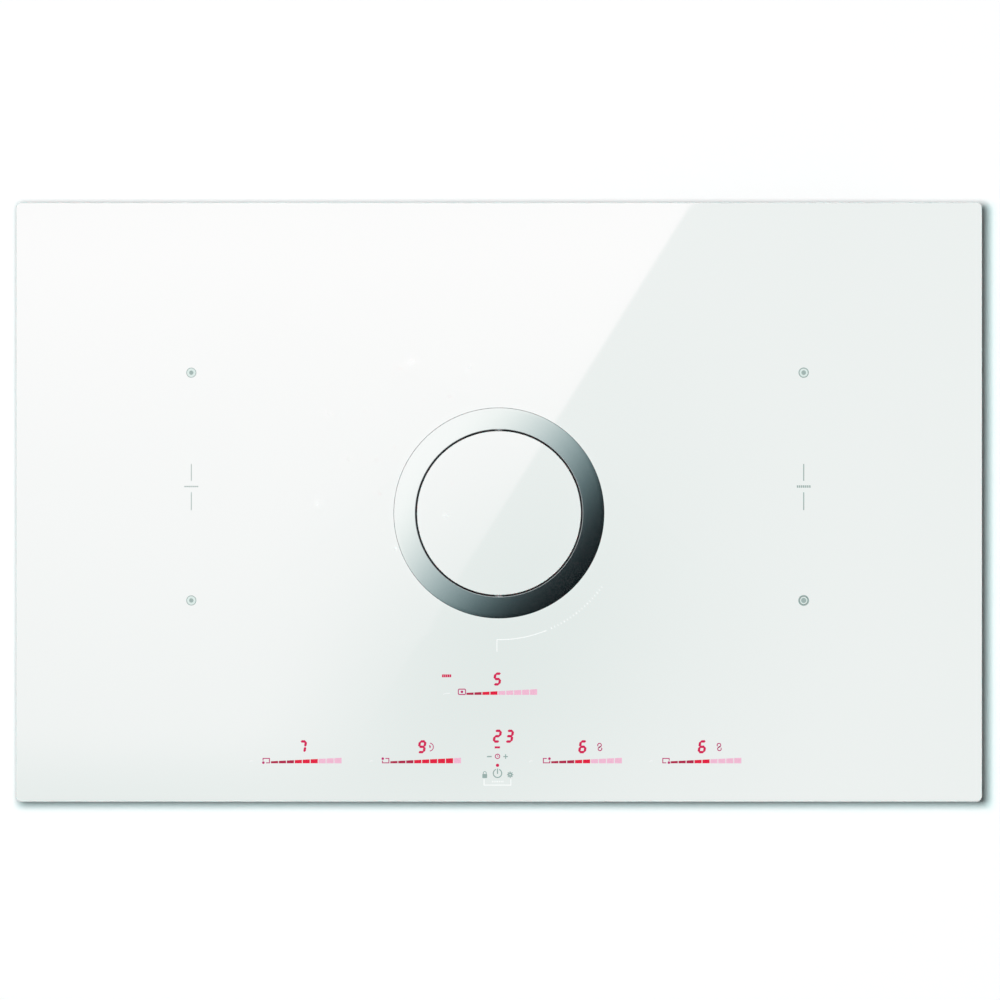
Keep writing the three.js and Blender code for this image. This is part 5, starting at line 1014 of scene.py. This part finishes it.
piece("cable_gland_nut", "chassis", "black_plastic", "cable_gland", black_plastic, gland)
(cover_left, cover_front, under), (cover_right, cover_back, _) = box_of("terminal_cover")
middle_x, middle_y = (cover_left + cover_right) / 2, (cover_front + cover_back) / 2
ends_of_cover = [((middle_x + x, middle_y, under), DOWN) for x in (-36, 36)]
fasteners("terminal_screws", screw_head(3.0, 1.9), ends_of_cover)

# ---- floor and light
# A white floor, soft lamps nearly overhead that throw a short shadow, widest at the right and the
# front, and a large pale card high up whose edge shows as a line across the glass and the ring.

WHITE, UP, FLOOR_HALF = (1, 1, 1, 1), ((-1, -1), (1, -1), (1, 1), (-1, 1)), 4


def sheet(name, half, height, paint, corners):
    """A flat square of the studio, painted on the side from which its corners run counter-clockwise."""
    mesh = bpy.data.meshes.new(name)
    mesh.from_pydata([(x * half, y * half, height) for x, y in corners], [], [(0, 1, 2, 3)])
    mesh.materials.append(paint)
    thing = placed(name, mesh)
    return thing


floor_paint, shader = new_finish("floor_paint", (0.9, 0.9, 0.9), 0.9)
sheet("studio_floor", FLOOR_HALF, 0, floor_paint, UP).visible_shadow = False
nodes = floor_paint.node_tree.nodes
ends = nodes["Material Output"]
paper = wire(ends, "BsdfDiffuse", {"Color": WHITE})
# Far from the hob, where the lamps fade, the camera sees the floor plain white.
spot = wire(ends, "TexCoord", {}, "Object")
distance = wire(ends, "VectorMath", {0: spot}, "Value", operation="LENGTH")
far = wire(ends, "MapRange", {"Value": distance, "From Min": 0.8, "From Max": 1.6})
by_camera = wire(ends, "LightPath", {})
share = wire(ends, "Math", {0: far, 1: by_camera}, operation="MULTIPLY")
far_white = wire(ends, "Emission", {"Color": WHITE, "Strength": 1.0})
floor_top = wire(ends, "MixShader", {0: share, 1: paper, 2: far_white})
# From below, the floor is clear, so that the underside can be looked at.
from_below = wire(ends, "NewGeometry", {}, "Backfacing")
clear = wire(ends, "BsdfTransparent", {})
feed(ends, "Surface", wire(ends, "MixShader", {0: from_below, 1: floor_top, 2: clear}))
nodes.remove(shader)

world = bpy.data.worlds.new("studio")
bpy.context.scene.world = world
world.use_nodes = True
room = world.node_tree.nodes["Background"]
room.inputs["Color"].default_value = (0.86, 1.0, 1.0, 1)
room.inputs["Strength"].default_value = 0.09
white = wire(room, "Background", {"Color": WHITE, "Strength": 1.0})
rays = wire(room, "LightPath", {}).node.outputs
seen = rays["Is Camera Ray"]
for way in ("Is Glossy Ray", "Is Transmission Ray"):
    seen = wire(room, "Math", {0: seen, 1: rays[way]}, operation="MAXIMUM")
sky = wire(room, "MixShader", {0: seen, 1: room.outputs["Background"], 2: white})
feed(world.node_tree.nodes["World Output"], "Surface", sky)


def lamp(name, kind, strength, place, **settings):
    """A lamp that looks at the middle of the floor and isn't itself mirrored."""
    data = bpy.data.lights.new(name, kind)
    data.energy = strength
    for setting, value in settings.items():
        setattr(data, setting, value)
    holder = placed(name, data)
    holder.location = place
    holder.rotation_euler = (-Vector(place)).to_track_quat("-Z", "Y").to_euler()
    holder.visible_glossy = False


# Two round soft lamps hang nearly above the hob and nearer than the camera, so that a thin shadow
# shows on all four sides. The warmer one hangs lower, which makes the shadow's soft edge slightly green.
LIGHT_ON_GLASS = 3.08
for name, colour, place, reach in (
    ("soft_light", (0.75, 0.95, 0.95), (-0.143, 0.085, 8.16), 0.188),
    ("warm_light", (0.25, 0.05, 0.05), (-0.150, 0.109, 6.28), 0.12),
):
    watts = LIGHT_ON_GLASS * 4 * pi * (place[2] - GLASS_LEVEL * MM) ** 2
    lamp(name, "POINT", watts, place, shadow_soft_size=reach, color=colour)
# A dim lamp under the floor, which lets its light through, shows the underside.
lamp("under_light", "SUN", 0.3, (0.3, -0.5, -1), angle=radians(40), color=(0.92, 1, 1))

# The card hangs CARD_RISE above the glass, where only reflections see it. Its middle is what the flat
# glass mirrors to the camera, and the rest is what the ring's cone mirrors.
CARD_RISE, CAMERA_RISE, CARD_HALF = 20.0, 9.5, 30.0
CARD_SHARE = 1 + CARD_RISE / CAMERA_RISE
card_height = GLASS_LEVEL * MM + CARD_RISE
card_paint = bpy.data.materials.new("card_paint")
card_paint.use_nodes = True
card_paint.cycles.emission_sampling = "NONE"
card = sheet("light_card", CARD_HALF, card_height, card_paint, UP[::-1])
for way in ("camera", "diffuse", "shadow", "transmission", "volume_scatter"):
    setattr(card, f"visible_{way}", False)
nodes = card_paint.node_tree.nodes
nodes.remove(nodes["Principled BSDF"])
ends = nodes["Material Output"]
feed(ends, "Surface", wire(ends, "Emission", {"Strength": 2.0}))


def from_point(x, y):
    """Where a point of the card lies from the one that the glass at x, y mirrors to the camera."""
    point = wire(ends, "TexCoord", {}, "Object")
    own = (x * MM * CARD_SHARE, y * MM * CARD_SHARE, card_height)
    return wire(ends, "VectorMath", {0: point, 1: own}, operation="SUBTRACT")


def ramp(value, start, end, low, high, interpolation="SMOOTHSTEP"):
    """A value that runs from low to high between two distances in metres of glass."""
    near, far = start * CARD_SHARE, end * CARD_SHARE
    span = {"Value": value, "From Min": near, "From Max": far, "To Min": low, "To Max": high}
    return wire(ends, "MapRange", span, interpolation_type=interpolation)


def along(lean, start, end, low=0.0, high=1.0, y=INTAKE_Y, interpolation="SMOOTHSTEP"):
    """A ramp along a direction that leans so many degrees from +X, starting at x 0 and y."""
    turn = radians(lean)
    arrow = {0: from_point(0, y), 1: (cos(turn), sin(turn), 0)}
    distance = wire(ends, "VectorMath", arrow, "Value", operation="DOT_PRODUCT")
    return ramp(distance, start, end, low, high, interpolation)


def around(start, end, low=0.0, high=1.0, x=0, y=INTAKE_Y):
    """A ramp outwards from x, y."""
    distance = wire(ends, "VectorMath", {0: from_point(x, y)}, "Value", operation="LENGTH")
    return ramp(distance, start, end, low, high)


def between(share, low, high):
    return wire(ends, "Mix", {"Factor": share, "A": low, "B": high})


def sum_of(first, second):
    return wire(ends, "Math", {0: first, 1: second}, operation="ADD")


def gradient(value, *stops):
    """A colour that runs through stops of (place, colour)."""
    colour = wire(ends, "ValToRGB", {"Fac": value})
    scale = colour.node.color_ramp
    row = scale.elements
    row[0].position, row[0].color = stops[0][0], (*stops[0][1], 1)
    row[1].position, row[1].color = stops[-1][0], (*stops[-1][1], 1)
    for place, stop in stops[1:-1]:
        row.new(place).color = (*stop, 1)
    scale.interpolation = "CARDINAL"
    return colour


# The card's edge crosses the ring's middle, 32 degrees from the photograph's vertical. It is crisp
# at the back and fades out towards the front left.
crisp = along(-32, -0.0012, 0.0012)
soft = along(-38, -0.081, 0.117)
fade = along(58, 0.20, -0.28)
bright_side = sum_of(
    along(90, -0.20, 0.25, 0.555, 1.045, y=0, interpolation="LINEAR"),
    sum_of(along(90, -0.262, -0.19, -0.317, 0.0, y=0), around(0.022, 0.275, -0.263, 0.0, 27, -125)),
)
dark_side = sum_of(around(-0.005, 0.232, 0.0, 0.245, -46, -107), around(0.10, 0.383, 0.0, 0.196, -46, -107))
middle = between(between(fade, crisp, soft), bright_side, dark_side)
middle_paint = blend(ends, middle, (0.0, 0.0, 0.0, 1), (0.98, 0.71, 0.78, 1))
cone_reach = CARD_RISE * tan(radians(12.6)) / CARD_SHARE + 0.081
cone_paint = gradient(
    along(-41.5, -cone_reach, cone_reach, interpolation="LINEAR"),
    (0.0, (0.89, 0.82, 0.80)),
    (0.20, (0.79, 0.76, 0.73)),
    (0.45, (0.41, 0.455, 0.45)),
    (0.68, (0.12, 0.165, 0.17)),
    (0.86, (0.020, 0.031, 0.034)),
    (1.0, (0.002, 0.004, 0.005)),
)
# The card's border is nearly black: the ring's outer chamfer mirrors it all round, as a thin outline.
near_paint = blend(ends, around(0.50, 0.58), middle_paint, cone_paint)
paint = blend(ends, around(2.8, 3.1), near_paint, (0.05, 0.056, 0.056, 1))
feed(nodes["Emission"], "Color", paint)

camera_data = bpy.data.cameras.new("photo_camera")
camera_data.lens = 398.1
camera_data.sensor_width = 36
camera_data.clip_end = 60
camera = placed("photo_camera", camera_data)
camera.location = (0.0009, 0.0017, 9.712)
bpy.context.scene.camera = camera
bpy.context.scene.view_settings.view_transform = "Standard"
